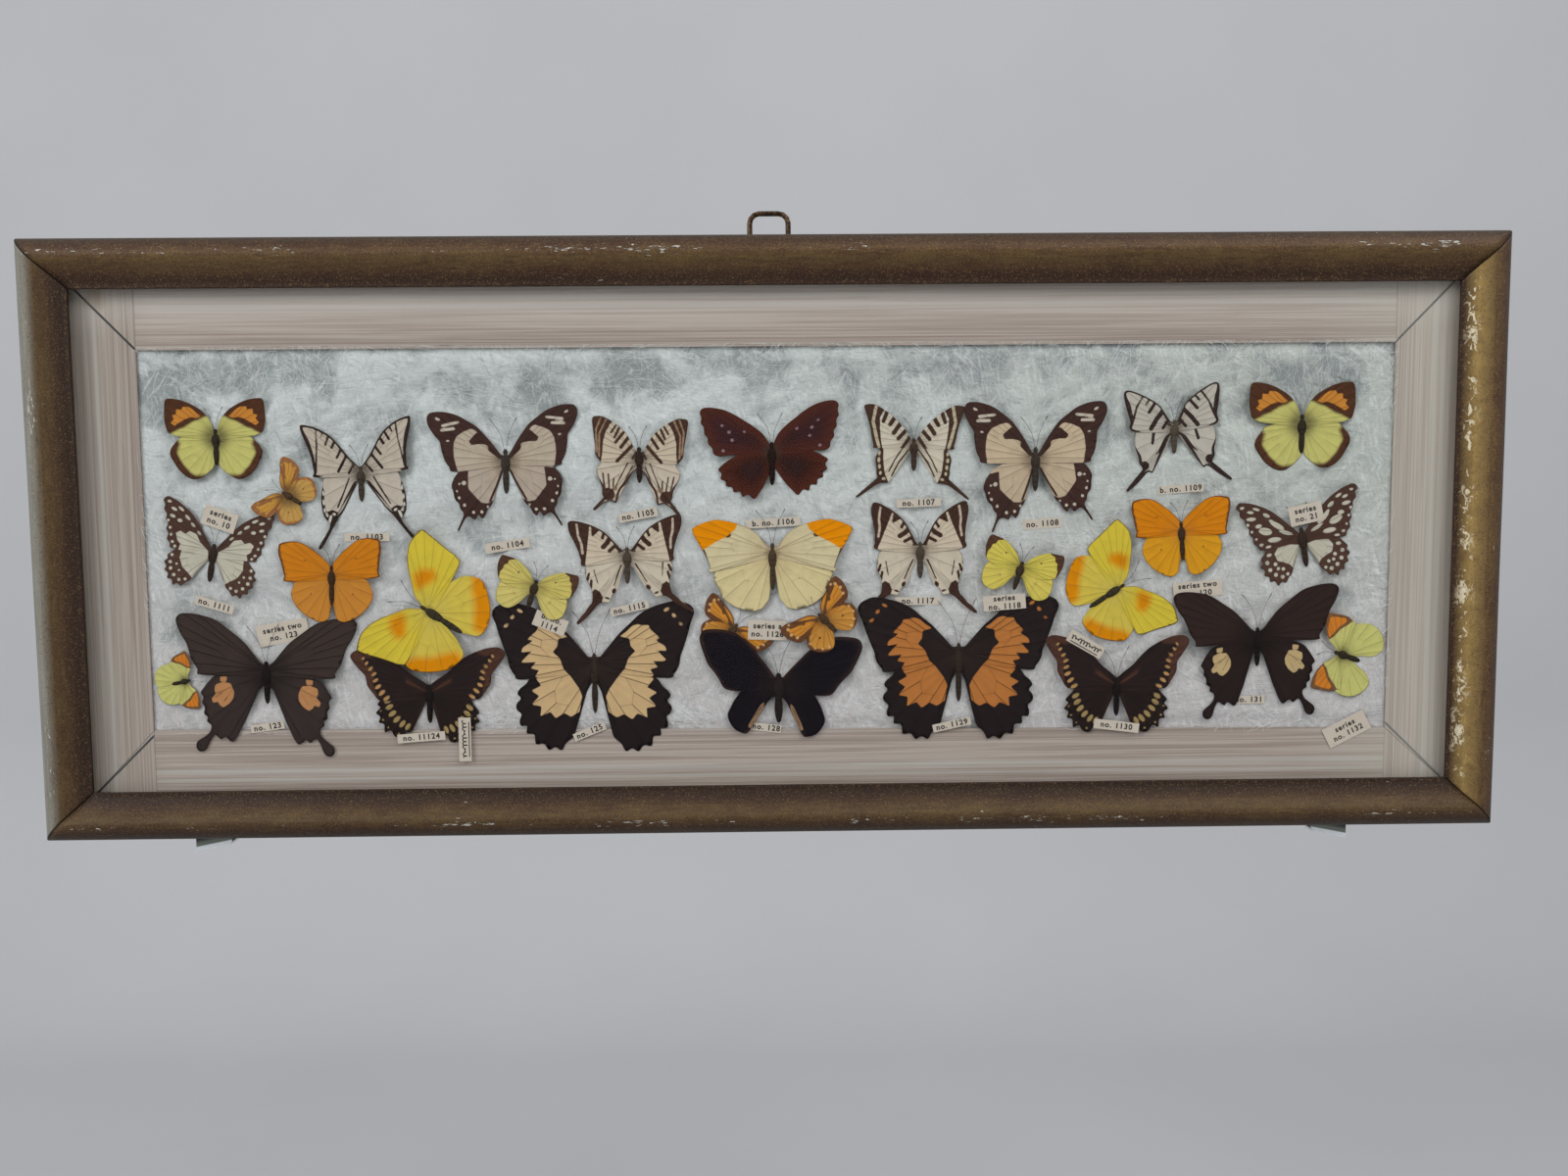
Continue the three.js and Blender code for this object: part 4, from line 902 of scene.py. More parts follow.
KINDS["marigold"] = dict(
    fore=outline(0, 5, 1.5, 7.5, 5, 11.5, 9.5, 15.5, 14.5, 19, 20, 20.3, 25.5, 19.7, 27, 18.5, 27.5, 14,
        26.5, 8.5, 25.5, 2, 24, -1.5, 0, -2),
    hind=outline(0, 3, 12, 1, 19, -1, 21, -4, 22.7, -9, 21, -14.5, 17.5, -19, 13, -22.5, 7.5, -24.7,
        3.5, -23, 2, -18, 0, -10),
    tip=0.46, ground=(196, 118, 22), hind_ground=(190, 126, 50), dark=(92, 52, 22), light=(210, 160, 84),
    vein=0.3, body=(70, 50, 34), head=6, tail=-16, soot=2, fade=(180, 120, 50), stout=0.85,
    marks=dict(
        fore_dark=[rim(0.05, 0.2, 0.3, 0.3, 0.42, 1.0, 0.52, 1.1, 0.7, 0.6, 0.74, 0),
            *dots((26.3, 14.4, 0.8), (25.6, 10.6, 0.8), (24.8, 6.6, 0.8), (24.2, 3, 0.8), (13.5, 9.5, 1.0))],
        hind_dark=[dot(12, -9, 0.9)]))
KINDS["patched"] = dict(
    fore=outline(0, 4, 1.5, 5.5, 3.5, 9.5, 8, 13.5, 14, 18.5, 19, 21.5, 24.5, 23.2, 29.5, 22.6, 33.4, 21,
        33, 16, 31.5, 9.5, 30.5, 4, 29.5, 0, 25.5, -2.5, 0, -2),
    hind=outline(0, 3, 13, 2, 23, -1.5, 27, -6.5, 27.7, -10.5, 25.5, -15, 21, -20.5, 16, -24.5, 10, -26.3,
        6, -25.8, 3.5, -22, 1.5, -16.5, 0, -9),
    tip=0.46, ground=(204, 182, 58), hind_ground=(202, 180, 74), dark=(110, 88, 40), light=(212, 132, 4),
    vein=0.26, body=(66, 58, 42), head=5, tail=-19, soot=2, soften=4.2, fade=(196, 178, 96), stout=0.85,
    marks=dict(
        fore_light=[patch(7.4, 9.4, 8, 11.6, 12.4, 14.6, 16.5, 12.5, 19, 7, 15.5, 4.4, 11, 7)],
        fore_dark=[rim(0.1, 0.2, 0.45, 0.5, 0.72, 0.3, 0.75, 0)],
        hind_light=[patch(27, -5, 21.6, -9, 16.6, -15, 10, -19.4, 7, -22, 8, -30, 24, -26, 34, -8)]))
KINDS["blackTip"] = dict(
    fore=outline(0, 3, 1.5, 2.5, 3.5, 6, 7.5, 9.5, 13, 12.5, 18.5, 13.2, 21.7, 13, 22.8, 8.5, 22.3, 4.5,
        20, -0.5, 12, -3, 0, -2),
    hind=outline(0, 1, 12, -0.5, 18, -0.5, 20.2, -3.5, 20.4, -8.5, 19.5, -12, 16, -14.7, 11.5, -14.7, 7, -11,
        3, -5.5, 0, -4),
    tip=0.46, ground=(200, 184, 100), hind_ground=(202, 186, 108), dark=(64, 42, 30), light=(186, 160, 92),
    vein=0.3, body=(66, 54, 42), head=4, tail=-13, soot=2,
    marks=dict(
        fore_dark=[patch(12.5, 14, 14.8, 12, 17, 11.4, 17.8, 9, 19.3, 8.2, 19.8, 5.4, 20.8, 3.6, 20.4, -2,
            26, -2, 26, 16, 12, 17), dot(10.5, 5.8, 1.0)],
        hind_light=[dot(10.5, -6, 1.5)]))
KINDS["swordtail"] = dict(
    fore=outline(0, 4, 3, 4, 5, 9.5, 9, 16.5, 14.5, 21.7, 20.5, 25.5, 25, 27.2, 27, 26.2, 27.6, 21.5,
        26.5, 15.5, 25.6, 9.5, 25.5, 5, 24, 0.5, 0, -2),
    hind=outline(0, 3, 13, 2, 21, 0.5, 23.5, -2.5, 24.3, -7.5, 24, -11.5, 22.4, -15, 21.6, -19.5,
        22.6, -24.6, 26.6, -30, 32.2, -34.6, 31, -35.8, 24.5, -31, 19.5, -26.2, 16.5, -24.8, 13, -25.3,
        11, -21.5, 8, -19.5, 6, -15, 3.5, -8.5, 0, -4),
    tip=0.5, ground=(197, 182, 160), hind_ground=(196, 183, 164), dark=(52, 34, 27), light=(190, 172, 154),
    vein=0.3, body=(88, 76, 64), head=5, tail=-16, soot=3,
    marks=dict(
        fore_dark=[patch(14.5, 24, 16.4, 20.6, 17.6, 17, 19, 13.5, 21, 8.6, 24.2, 1, 30, 0, 32, 30, 14, 28),
            patch(12, 21.4, 14.8, 20.8, 16.2, 15.2, 11.2, 17.8), bar(1.6, 8.8, 16.2, 10.6, 13.2),
            bar(2.6, 6.2, 12.6, 8.6, 10, 11.5, 8.3), bar(1.8, 3.5, 8, 8.7, 5.3), bar(1.2, 1.8, 5, 3.8, 3.2),
            rim(0.03, 0.6, 0.4, 0.9, 0.7, 0.9, 0.73, 0)],
        fore_light=[bar(1.1, 22.4, 24.4, 23.3, 18, 22.8, 13, 23.6, 8)],
        hind_dark=[bar(1.4, 22.4, -8, 23.6, -11.4), bar(1.4, 21.4, -12, 22.2, -16), patch(20, -17,
            17.4, -18.5, 16, -22, 17, -25.4, 24, -31.4, 31, -36.2, 33, -34.4, 26.8, -29.6, 23.2, -24.4,
            22, -19), bar(0.7, 4, -5, 9, -16), bar(0.6, 19.4, -6, 18, -14), *dots((9.4, -19, 2.2, 3, 30),
            (13.4, -22.8, 3, 1.2, 20))]))
KINDS["orangeCorner"] = dict(
    fore=outline(0, 4, 3.5, 4, 6, 8, 9, 11.5, 13.5, 14.5, 20, 17, 26, 18.5, 31.5, 19.2, 35, 18.6, 40.5, 16.8,
        44.7, 14.5, 44.6, 12, 41.5, 6, 38.5, 1, 36.5, -3.5, 35, -7.5, 33.5, -10, 0, -2),
    hind=outline(0, 2, 15, 0, 27, -4, 33, -8, 33.8, -12, 31.8, -17.5, 29.8, -23, 26, -26.7, 21.5, -29.5,
        13.5, -31.7, 8.5, -30.7, 6, -28, 3.5, -24, 1.8, -11.5, 0, -7),
    tip=0.5, ground=(202, 188, 150), hind_ground=(206, 190, 142), dark=(74, 52, 32), light=(224, 136, 0),
    vein=0.3, body=(84, 68, 50), head=6, tail=-21, soot=3, fade=(176, 148, 112), stout=0.9,
    marks=dict(
        fore_light=[patch(18, 19, 20, 16, 21.2, 13.5, 26.5, 9.5, 31.7, 7, 39.2, 2.4, 42, 0, 50, 10, 40, 22,
            20, 24)],
        fore_dark=[rim(0.2, 0, 0.36, 0.6, 0.47, 1.4, 0.56, 1.0, 0.62, 0), dot(24.6, 10.4, 3.2, 2.2, -20)],
        hind_dark=[dot(15, -14, 0.9)]))
KINDS["orangeTip"] = dict(
    fore=outline(0, 3, 1, 4, 3.5, 7, 5.5, 10.5, 10, 14, 15, 16, 19.7, 16.2, 20.7, 11.5, 21.5, 5.5, 20, 1.5,
        18.5, -0.5, 0, -2),
    hind=outline(0, 1, 12, 0, 18, -0.5, 19.8, -2.5, 21.7, -8.5, 20, -15, 15, -19.7, 9.5, -20.7, 5, -17,
        2.5, -10, 0, -5),
    tip=0.46, ground=(192, 188, 112), hind_ground=(190, 188, 112), dark=(96, 66, 42), light=(206, 122, 40),
    vein=0.28, body=(58, 50, 38), head=5, tail=-11, soot=3,
    marks=dict(
        fore_dark=[patch(5, 11, 8.2, 8.4, 13, 6.6, 18, 2.6, 24, -1, 26, 20, 6, 18)],
        fore_light=[patch(7, 11, 9, 9.6, 14, 8, 18.6, 4.6, 20, 6, 19, 11.5, 17.6, 14.4, 11.4, 13.4)]))
KINDS["spangle"] = dict(
    fore=outline(0, 4, 1.5, 4, 5.5, 8, 11.5, 16.5, 19.5, 23.7, 27, 29.5, 35.5, 32.5, 42.5, 33.6, 47, 33.1,
        49.2, 31, 49, 27.5, 47, 22, 44.5, 17.5, 43, 13, 41.5, 7.5, 38.5, 2, 35.5, -1.5, 0, -2),
    hind=outline(0, 2, 16, 1, 28, -1.5, 32.5, -5, 35, -8, 37.5, -11.5, 36, -14, 36.8, -17.5, 35.4, -20,
        36, -23.5, 34, -25.4, 34.6, -28, 32.4, -29.8, 32.4, -32.4, 34, -35, 37.4, -37.4, 40.4, -39.4,
        41.2, -42.4, 39.6, -45, 36.6, -44.8, 34.6, -42.2, 33.4, -39.2, 31.8, -36.8, 30, -35.6, 27, -38.5,
        24.6, -36.8, 21, -40, 18, -37, 15.5, -32.5, 12.5, -27, 10, -20, 5.5, -11.5, 0, -7),
    tip=0.5, ground=(42, 30, 27), hind_ground=(30, 22, 21), dark=(22, 16, 16), light=(186, 160, 116),
    vein=0.8, ray=0.6, body=(32, 26, 24), head=6, tail=-18.5, soot=0, vein_colour=(22, 17, 17),
    neck=(33.4, -34.2, 31.4, -36.4),
    marks=dict(
        hind_light=[patch(19.3, -9.3, 20.6, -6.5, 24.6, -5.9, 27, -6.5, 29, -7.1, 29.5, -10, 28.7, -12.3,
            31.4, -15.1, 30.7, -17.3, 27.9, -16.7, 27, -18.8, 25.1, -20, 23, -18.8, 21.4, -17.7, 19.3, -14.7,
            18.8, -11.6), patch(22.4, -2.6, 26.2, -2.6, 26, -5.2, 22.8, -5.2)],
        hind_over=[bar(0.4, 19.5, -7, 31, -15.6), bar(0.4, 19, -9, 26.4, -19.6)]))
KINDS["goldrim"] = dict(
    fore=outline(0, 5, 4, 8.5, 9, 12.5, 14, 18, 19, 22.5, 25.5, 26.2, 31.5, 28.5, 37, 29.2, 41, 27,
        40.5, 23.5, 37.5, 18.5, 34.5, 14, 34, 8.5, 31.5, 4, 29, 0, 24.5, -1.5, 0, -2),
    hind=outline(0, 3, 14, 2, 22, 0.5, 25.5, -3.5, 29, -7.6, 27.4, -9.6, 29.6, -12.8, 27.2, -14.8,
        27.8, -18.2, 24.8, -19, 24.2, -23.6, 20.8, -22.4, 18.5, -25.6, 14.5, -26.2, 12.5, -23, 9.5, -22.5,
        8, -20.5, 5.5, -12, 3, -5, 0, -5),
    tip=0.5, ground=(34, 26, 26), hind_ground=(30, 23, 22), dark=(60, 38, 30), light=(178, 138, 88),
    vein=0.4, body=(32, 25, 23), head=5.5, tail=-17, soot=0, olive=(140, 122, 80),
    marks=dict(
        fore_dark=[rim(0.3, 0, 0.42, 4, 0.5, 6, 0.6, 4, 0.7, 1, 0.73, 0)],
        fore_light=dots((34.2, 24, 2.2, 1.2, -50), (32.8, 21.2, 2.4, 1.3, -45), (30.8, 18, 2.8, 1.4, -40),
            (29.4, 14.6, 3, 1.5, -30), (29, 11, 3.2, 1.6, -25), (28.2, 7.2, 3.5, 1.7, -30),
            (26.4, 3.6, 3.8, 1.8, -35), (24.2, 0.2, 3.8, 1.8, -30)),
        hind_light=dots((23.2, -5.4, 4.2, 2.4, -35), (22.2, -9, 4.2, 2.3, -35), (20.4, -12.6, 4.4, 2.3, -40),
            (17.8, -15.8, 4.4, 2.3, -45), (14.6, -18.2, 4.4, 2.3, -55), (11.4, -19.6, 4, 2.2, -60),
            (27, -11.4, 1), (25.6, -16.6, 1), (22.4, -20.8, 1), (16.4, -24, 1))))
KINDS["greyVein"] = dict(
    fore=outline(0, 4, 2.5, 4, 6, 9.5, 10, 14.7, 14, 20, 20, 26, 24.5, 29, 30.5, 30.7, 37, 31.2, 42, 30.5,
        44.3, 27, 44, 23, 42.5, 18, 40, 11.5, 36, 6, 34, 3, 32, -1, 29, -3.5, 20, -4.3, 0, -3),
    hind=outline(0, 2, 10, 0.5, 18, -1, 24.5, -8.5, 27, -13, 29, -18, 27.5, -23, 24, -27, 19, -28.7,
        17, -27.4, 15, -24.5, 10.5, -17.5, 6, -10.5, 0, -6),
    tip=0.5, ground=(17, 13, 19), hind_ground=(16, 12, 18), dark=(36, 24, 22), light=(146, 114, 86),
    vein=0.6, ray=0.6, body=(44, 36, 34), head=6, tail=-23, soot=0, vein_colour=(16, 14, 18), stout=1.25,
    marks=dict(
        fore_dark=[rim(0.03, 1.0, 0.3, 1.4, 0.5, 2.2, 0.76, 1.2, 0.8, 0)],
        hind_light=[patch(8.4, -11, 10, -12.2, 14, -18.4, 17.4, -24.4, 16.4, -25.6, 12.6, -20.6,
            8.6, -13.4)],
        hind_over=[bar(0.5, 9.4, -12.8, 15.6, -23.4)],
        hind_dark=[dot(17.6, -27.6, 4, 2.4)]))
KINDS["dividedBlack"] = dict(
    fore=outline(0, 5, 4, 5, 8.5, 9.7, 14.5, 16.5, 21, 22, 27, 27, 34.5, 30.7, 42.5, 32.6, 48.5, 33.3,
        53, 31.7, 56, 29.7, 57.2, 26, 55, 20.5, 53, 14.5, 50.5, 8, 48, 2, 47, -2.5, 44, -7, 38.5, -9.5,
        0, -3),
    hind=outline(0, 2, 18, 0, 33, -6, 38, -11.5, 41, -14, 42.4, -17, 40.4, -19.4, 42.8, -22.6, 42.6, -26,
        40, -28.4, 41, -32, 40.2, -35, 36.8, -34.8, 37, -39, 32.8, -39.6, 31.8, -45, 27.5, -44.6,
        24.5, -48.2, 21, -46.4, 17.5, -48.2, 15, -44, 10.5, -39.5, 9, -31, 6, -22, 3.5, -14, 0, -8),
    tip=0.5, ground=(32, 24, 24), hind_ground=(28, 21, 22), dark=(22, 17, 18), light=(198, 166, 122),
    vein=0.9, ray=0.5, on_light=0.7, body=(60, 48, 40), head=7, tail=-27, soot=0, vein_colour=(22, 16, 16),
    stout=0.85,
    marks=dict(
        fore_light=[patch(15.5, 15.4, 19, 17.6, 22.5, 20.6, 25.5, 21.4, 28, 20.6, 31.4, 20.4, 32.6, 17.6,
            37.4, 13, 33.6, 12.6, 39.6, 8.4, 40.8, 5.6, 34.4, 6.8, 40.6, 0, 32, 0.6, 35, -3, 30.4, -4,
            32.4, -7.4, 28.6, -9.6, 16, -8.6, 14, -6, 17, -2.8, 19.4, 3, 23.4, 6.6, 21, 9.6, 20.6, 14),
            *dots((42, 28.6, 3, 1.6, 30), (46, 25, 3.2, 1.7, -50), (49.4, 20.2, 2.8, 1.7, -40))],
        fore_dark=[bar(0.7, 20.5, 14.2, 31, 15.6), bar(0.7, 24, 8, 34, 10.4), bar(0.6, 23.4, 6.6, 36, 3.4),
            bar(0.6, 19.4, 3, 33, -1.4), bar(0.6, 17, -2.8, 27, -5.6)],
        hind_light=[patch(25.5, -5, 15, -4, 8.5, -13, 6.5, -17.5, 8, -26, 12.5, -29, 16.5, -27, 21, -30,
            24, -26.5, 29.4, -29, 28.8, -23.6, 34.4, -22.6, 30, -18, 34.4, -15, 29, -12, 33, -7, 28, -6)],
        hind_dark=[bar(0.6, 17, -12, 22, -27), bar(0.6, 19, -10, 30, -20), bar(0.6, 20, -8, 31, -12),
            bar(0.6, 13, -14, 14, -27)]))
KINDS["paleSpotted"] = dict(
    KINDS["spotted"], vein=0.3,
    marks=dict(
        fore_light=[patch(2.5, -3, 3, 0.5, 8, 4.4, 10.4, 8.4, 14.4, 9.6, 16.4, 7.6, 19.4, 9, 21.6, 7.4,
            20.4, 3.4, 18.4, 2, 19.6, -3), *dots((27.6, 24.4, 2, 1.3), (20.5, 21.2, 3.2, 1.4, 30),
            (24.4, 20.6, 3, 1.4, 20), (24.8, 16.6, 2.6, 1.6, 10), (16.4, 17, 3.2, 1.6, 40), (27, 13.8, 1.5),
            (20.4, 14.8, 2.4, 1.8), (25.4, 10, 1.5), (13, 13.4, 2.6, 1.3, 45), (24.4, 6.2, 1.5),
            (23.2, 2.2, 1.5), (9, 9.4, 2.4, 1.2, 45), (21.6, 0, 1.4))],
        hind_light=[patch(17, 1, 3, 1, 2, -4, 5, -11, 9.4, -16.6, 12, -14, 16, -10.6, 18, -6),
            *dots((22.6, -5, 1.6), (23, -9, 1.7), (22.4, -12.6, 1.7), (20.2, -16, 1.7), (17, -18.2, 1.6),
            (13.6, -17.4, 1.5), (19.4, -9.6, 1.2), (17.6, -13, 1.2))]))

# Where each specimen lies: kind, x, z, heading, scale, layer, and how far its left fore, left hind, right
# fore and right hind wings are swung, in millimetres and degrees.
SPECIMENS = {
    "butterfly_01_ixias": ("ixias", -308.6, 59, 0, 0.93, 0, 0, 0, 0, 0),
    "butterfly_02_small_orange": ("smallOrange", -270, 26.5, 57, 0.86, 1, 9, 0, 8, 0),
    "butterfly_03_kite": ("kite", -229, 38.5, 0, 1, 0, -9, -8, 0, 0),
    "butterfly_04_mocker": ("mocker", -148.3, 44.2, 0, 1, 0, -6, -5, 0, 0),
    "butterfly_05_zebra": ("zebra", -73.8, 45, 0, 1.04, 0, 5, 8, 0, 0),
    "butterfly_06_scalloped": ("scalloped", 0.4, 48.5, 0, 1, 0, -6, -10, 0, 0),
    "butterfly_07_banded": ("banded", 80, 52, 0, 1, 0, 0, 0, -3, -3),
    "butterfly_08_mocker": ("mocker", 148.3, 43, 0, 1, 1, 1, -10, 1, 3),
    "butterfly_09_striped": ("striped", 226.6, 59.5, 0, 1, 0, 0, 0, 10, 12),
    "butterfly_10_ixias": ("ixias", 298.6, 62, 0, 1, 0, 0, -6, 0, 0),
    "butterfly_11_spotted": ("paleSpotted", -312.7, -5, -10, 1, 0, 0, 0, -1, -5),
    "butterfly_12_marigold": ("marigold", -246.8, -19, -2, 1.03, 2, -5, -4, 3, -2),
    "butterfly_13_patched": ("patched", -193.1, -39.4, 56, 1.17, 2, -4, 6, 5, -6),
    "butterfly_14_black_tip": ("blackTip", -133.5, -25.8, -19, 1, 2, -5, -6, 0, 0),
    "butterfly_15_swordtail": ("swordtail", -81.5, -9, 0, 1, 1, -15, -5, -9, 7),
    "butterfly_16_orange_corner": ("orangeCorner", 0.2, -8.5, 0, 1, 1, 0, -4, 0, 0),
    "butterfly_17_swordtail": ("swordtail", 83.6, -7.5, 0, 1, 0, 0, 0, 1, 0),
    "butterfly_18_black_tip": ("blackTip", 140.2, -18, -17, 1, 2, 1, -4, 0, 0),
    "butterfly_19_patched": ("patched", 195.5, -30.5, -57, 1, 0, 0, 0, -4, -4),
    "butterfly_20_marigold": ("marigold", 231.3, 1.5, 4, 1, 1, 0, 0, -4, 0),
    "butterfly_21_spotted": ("spotted", 300.2, -1.5, 10, 1.04, 0, -6, -8, -7, -9),
    "butterfly_22_orange_tip": ("orangeTip", -331.9, -77.7, -78, 0.68, 0, -25, -24, -25, -24),
    "butterfly_23_spangle": ("spangle", -285.6, -72.5, 0, 1, 1, 0, 0, -5, -6),
    "butterfly_24_goldrim": ("goldrim", -194.5, -86, 0, 1, 1, -6, 4, -5, -7),
    "butterfly_25_divided_black": ("dividedBlack", -101.2, -71, 0, 1.02, 0, 3, 2, 3, -1),
    "butterfly_26_small_orange": ("smallOrange", -22.3, -51.2, -38, 0.95, 0, -7, -7, -7, -7),
    "butterfly_27_small_orange": ("smallOrange", 28.5, -45.4, 44, 1, 3, 0, 0, 0, 0),
    "butterfly_28_grey_vein": ("greyVein", 3, -82, 0, 1, 2, 0, 0, -8, -8),
    "butterfly_29_divided_orange": ("dividedBlack", 105.4, -67, 0, 1, 1, 0, 0, 1, -1),
    "butterfly_30_goldrim": ("goldrim", 195.4, -86, 0, 1, 2, 1, 1, 0, 0),
    "butterfly_31_spangle": ("spangle", 275.8, -58.5, 0, 0.92, 1, -7, -10, -1, -6),
    "butterfly_32_orange_tip": ("orangeTip", 325, -69.3, 70, 1, 0, -16, 2, 0, 0),
}
# A specimen's own age and fading.
SPECIMEN_TINTS = {
    "butterfly_02_small_orange": dict(ground=(192, 140, 60), hind_ground=(186, 146, 80), dark=(122, 80, 48),
                                      light=(190, 140, 66), soot=6),
    "butterfly_08_mocker": dict(ground=(190, 170, 142), hind_ground=(186, 166, 140)),
    "butterfly_18_black_tip": dict(ground=(204, 188, 84), hind_ground=(206, 188, 88)),
    "butterfly_20_marigold": dict(ground=(204, 122, 14), hind_ground=(208, 146, 30)),
    "butterfly_23_spangle": dict(ground=(52, 42, 38), hind_ground=(46, 37, 35), light=(178, 126, 82)),
    "butterfly_29_divided_orange": dict(light=(178, 112, 56))}


GLASS_BACK, GLASS_GAP = -18.9, 0.15
MARK_NAMES = ("dark", "light", "over")
FACT_NAMES = ("edge", "vein", "cell", "around", "reach", "fore", *MARK_NAMES)
AT_ROOT = {"edge": 5.0, "vein": 0.0, "cell": 0.0, "around": 50.0, "reach": 0.0}
BACKWARD = [0, 3, 2, 1]


def scale_tone(colour, times=1.0, plus=0):
    return linear(*[part * times + plus for part in colour], 0.92)


def scaled_wing(name, colours):
    """The dust of scales on one kind of wing: ground colour fading to the root, dark veins, then the marks,
    whose edges are roughened by a fine grain of single scales."""
    paint = Paint(f"scales_{name}", roughness=0.75, Specular_IOR_Level=0.03)
    fore, edge, reach = (paint.attribute(fact) for fact in ("fore", "edge", "reach"))
    vein, cell = (abs(paint.attribute(fact)) for fact in ("vein", "cell"))
    outside_cell = paint.attribute("cell").above(0.1, -0.2)
    line = (vein.above(0.34, -0.2) * outside_cell + cell.above(0.3, -0.2) * 0.5).clamped()
    line = line * reach.above(1.5, 2)
    span = colours["fore"][:, 0].max()
    grain = paint.noise(0.35, 3)
    mottle = paint.noise(5.0, 3)
    patina = paint.noise(16.0, 2)
    tones = {key: scale_tone(colours[key]) for key in ("ground", "hind_ground", "dark", "light")}
    colour = paint.mix(fore, tones["hind_ground"], tones["ground"])
    root_tone = scale_tone(colours.get("fade", colours["body"]))
    colour = paint.mix(reach.above(0.4 * span, -0.36 * span) * 0.5, colour, root_tone)
    if "rust" in colours:
        rusty = edge.above(9, -8) * (0.55 + mottle * 0.5)
        colour = paint.mix(rusty.clamped(), colour, scale_tone(colours["rust"]))
    pleat_stripe = paint.math("SINE", paint.attribute("around") * 9 + mottle * 5)
    if "ray" in colours:
        rays = pleat_stripe.above(0.35, 0.5) * reach.above(9, 8) * (1 - edge.above(2.2, -2.2)) * colours["ray"]
        colour = paint.mix(rays.clamped(), colour, scale_tone(colours["ground"], 1.5, 8))
    # Painted shade in faint stripes round the wing, where it pleats between the veins.
    colour = paint.mix((pleat_stripe * 0.5 + 0.5) * 0.22, colour, scale_tone(colours["ground"], 0.66))
    dusty = ((grain - 0.5) * 0.6 + mottle.above(0.42, 0.4) * 0.18).clamped()
    colour = paint.mix(dusty, colour, tones["dark"])
    vein_tone = scale_tone(colours.get("vein_colour", colours["dark"]))
    colour = paint.mix(line * colours["vein"], colour, vein_tone)
    ragged = (grain - 0.5) * 0.5 + (mottle - 0.5) * 0.45
    feather, soften = colours.get("feather", 0.3), colours.get("soften", 0.28)
    dark = (paint.attribute("dark") + ragged).above(-0.12 - feather * 0.3, feather)
    dark_tone = paint.mix(mottle, tones["dark"], scale_tone(colours["dark"], 1.25, 5))
    dark_tone = paint.mix(line * 0.35, dark_tone, scale_tone(colours["dark"], 0.55))
    colour = paint.mix(dark, colour, dark_tone)
    light = (paint.attribute("light") + ragged).above(-0.12 - soften * 0.5, soften)
    light_tone = paint.mix(mottle, tones["light"], scale_tone(colours["light"], 0.88))
    if "olive" in colours:
        light_tone = paint.mix((1 - fore) * 0.8, light_tone, scale_tone(colours["olive"]))
    light_tone = paint.mix(line * colours.get("on_light", 0.4), light_tone, vein_tone)
    colour = paint.mix(light, colour, light_tone)
    colour = paint.mix((paint.attribute("over") + ragged).above(-0.12, 0.3), colour, dark_tone)
    if colours["soot"]:
        soot = reach.above(colours["soot"] * 1.8, -colours["soot"]) * (0.35 + grain)
        colour = paint.mix(soot.clamped() * 0.6, colour, scale_tone((60, 50, 42)))
    worn = patina.above(0.62, 0.2) * 0.12 + edge.above(0.45, -0.45) * 0.25
    colour = paint.mix(worn, colour, scale_tone(colours["dark"], 1.25, 16))
    paint.set(Base_Color=colour, Roughness=0.62 + grain * 0.25)
    paint.bump(grain * 0.5 + pleat_stripe * 0.12 + line * 0.8, 0.12)
    return paint.material


def furred_body(kind, tone):
    """Matted hair on the thorax and ringed, scaled segments on the abdomen."""
    paint = Paint(f"fur_{kind}", roughness=0.9, Specular_IOR_Level=0.05)
    hair = paint.noise(1.0, 4, (0.35, 0.35, 1.6), distortion=0.8)
    ring = paint.math("SINE", paint.attribute("around") * 2.1).above(0.55, 0.4) * paint.attribute("edge")
    colour = paint.mix(hair.above(0.3, 0.4), scale_tone(tone, 0.6), scale_tone(tone))
    colour = paint.mix(ring * 0.45, colour, scale_tone(tone, 0.45))
    paint.set(Base_Color=colour)
    paint.bump(hair - ring * 0.4, 0.5)
    return paint.material


feeler_coat = Paint("feeler_horn", roughness=0.5)
feeler_coat.set(Base_Color=feeler_coat.mix(feeler_coat.noise(0.5), linear(34, 26, 22), linear(58, 46, 38)))
feeler_coat.bump(feeler_coat.noise(0.2), 0.05)


def skin_of(part, mirror, degrees, fore):
    """A wing turned about the thorax and mirrored for the left: a pole at the root, rings out to the edge,
    and a plain back that shares the last ring."""
    face, height = part["face"], part["height"]
    lift = -0.14 if fore else 0.06
    columns = face.shape[1]

    def placed(flat, rise):
        x, z = flat[..., 0], flat[..., 1]
        return turned(np.stack([x, rise + 0 * x, z], axis=-1), degrees) * [mirror, 1, 1]

    front = placed(face, lift - height)
    back = placed(face[-4::-9], lift + 0.16)
    poles = placed(np.stack([part["root"], part["root"]]), np.array([lift, lift + 0.16]))
    points = np.concatenate([poles[:1], front.reshape(-1, 3), back.reshape(-1, 3), poles[1:]])
    rings = len(front) + len(back)
    quads = 1 + grid_faces(rings, columns)[:, BACKWARD]
    first = 1 + np.arange(columns)
    final = first + (rings - 1) * columns
    fans = np.concatenate([np.stack([0 * first, first, np.roll(first, -1)], axis=1),
                           np.stack([0 * first + len(points) - 1, np.roll(final, -1), final], axis=1)])
    if mirror > 0:
        quads, fans = quads[:, ::-1], fans[:, ::-1]
    facts = {}
    for name in FACT_NAMES:
        if name == "fore":
            facts[name] = np.full(len(points), float(fore))
            continue
        grid = part["facts"][name].reshape(face.shape[:2])
        root_value = AT_ROOT.get(name, OUTSIDE)
        facts[name] = np.concatenate([[root_value], grid.ravel(), grid[-4::-9].ravel(), [root_value]])
    return points, [quads, fans], facts


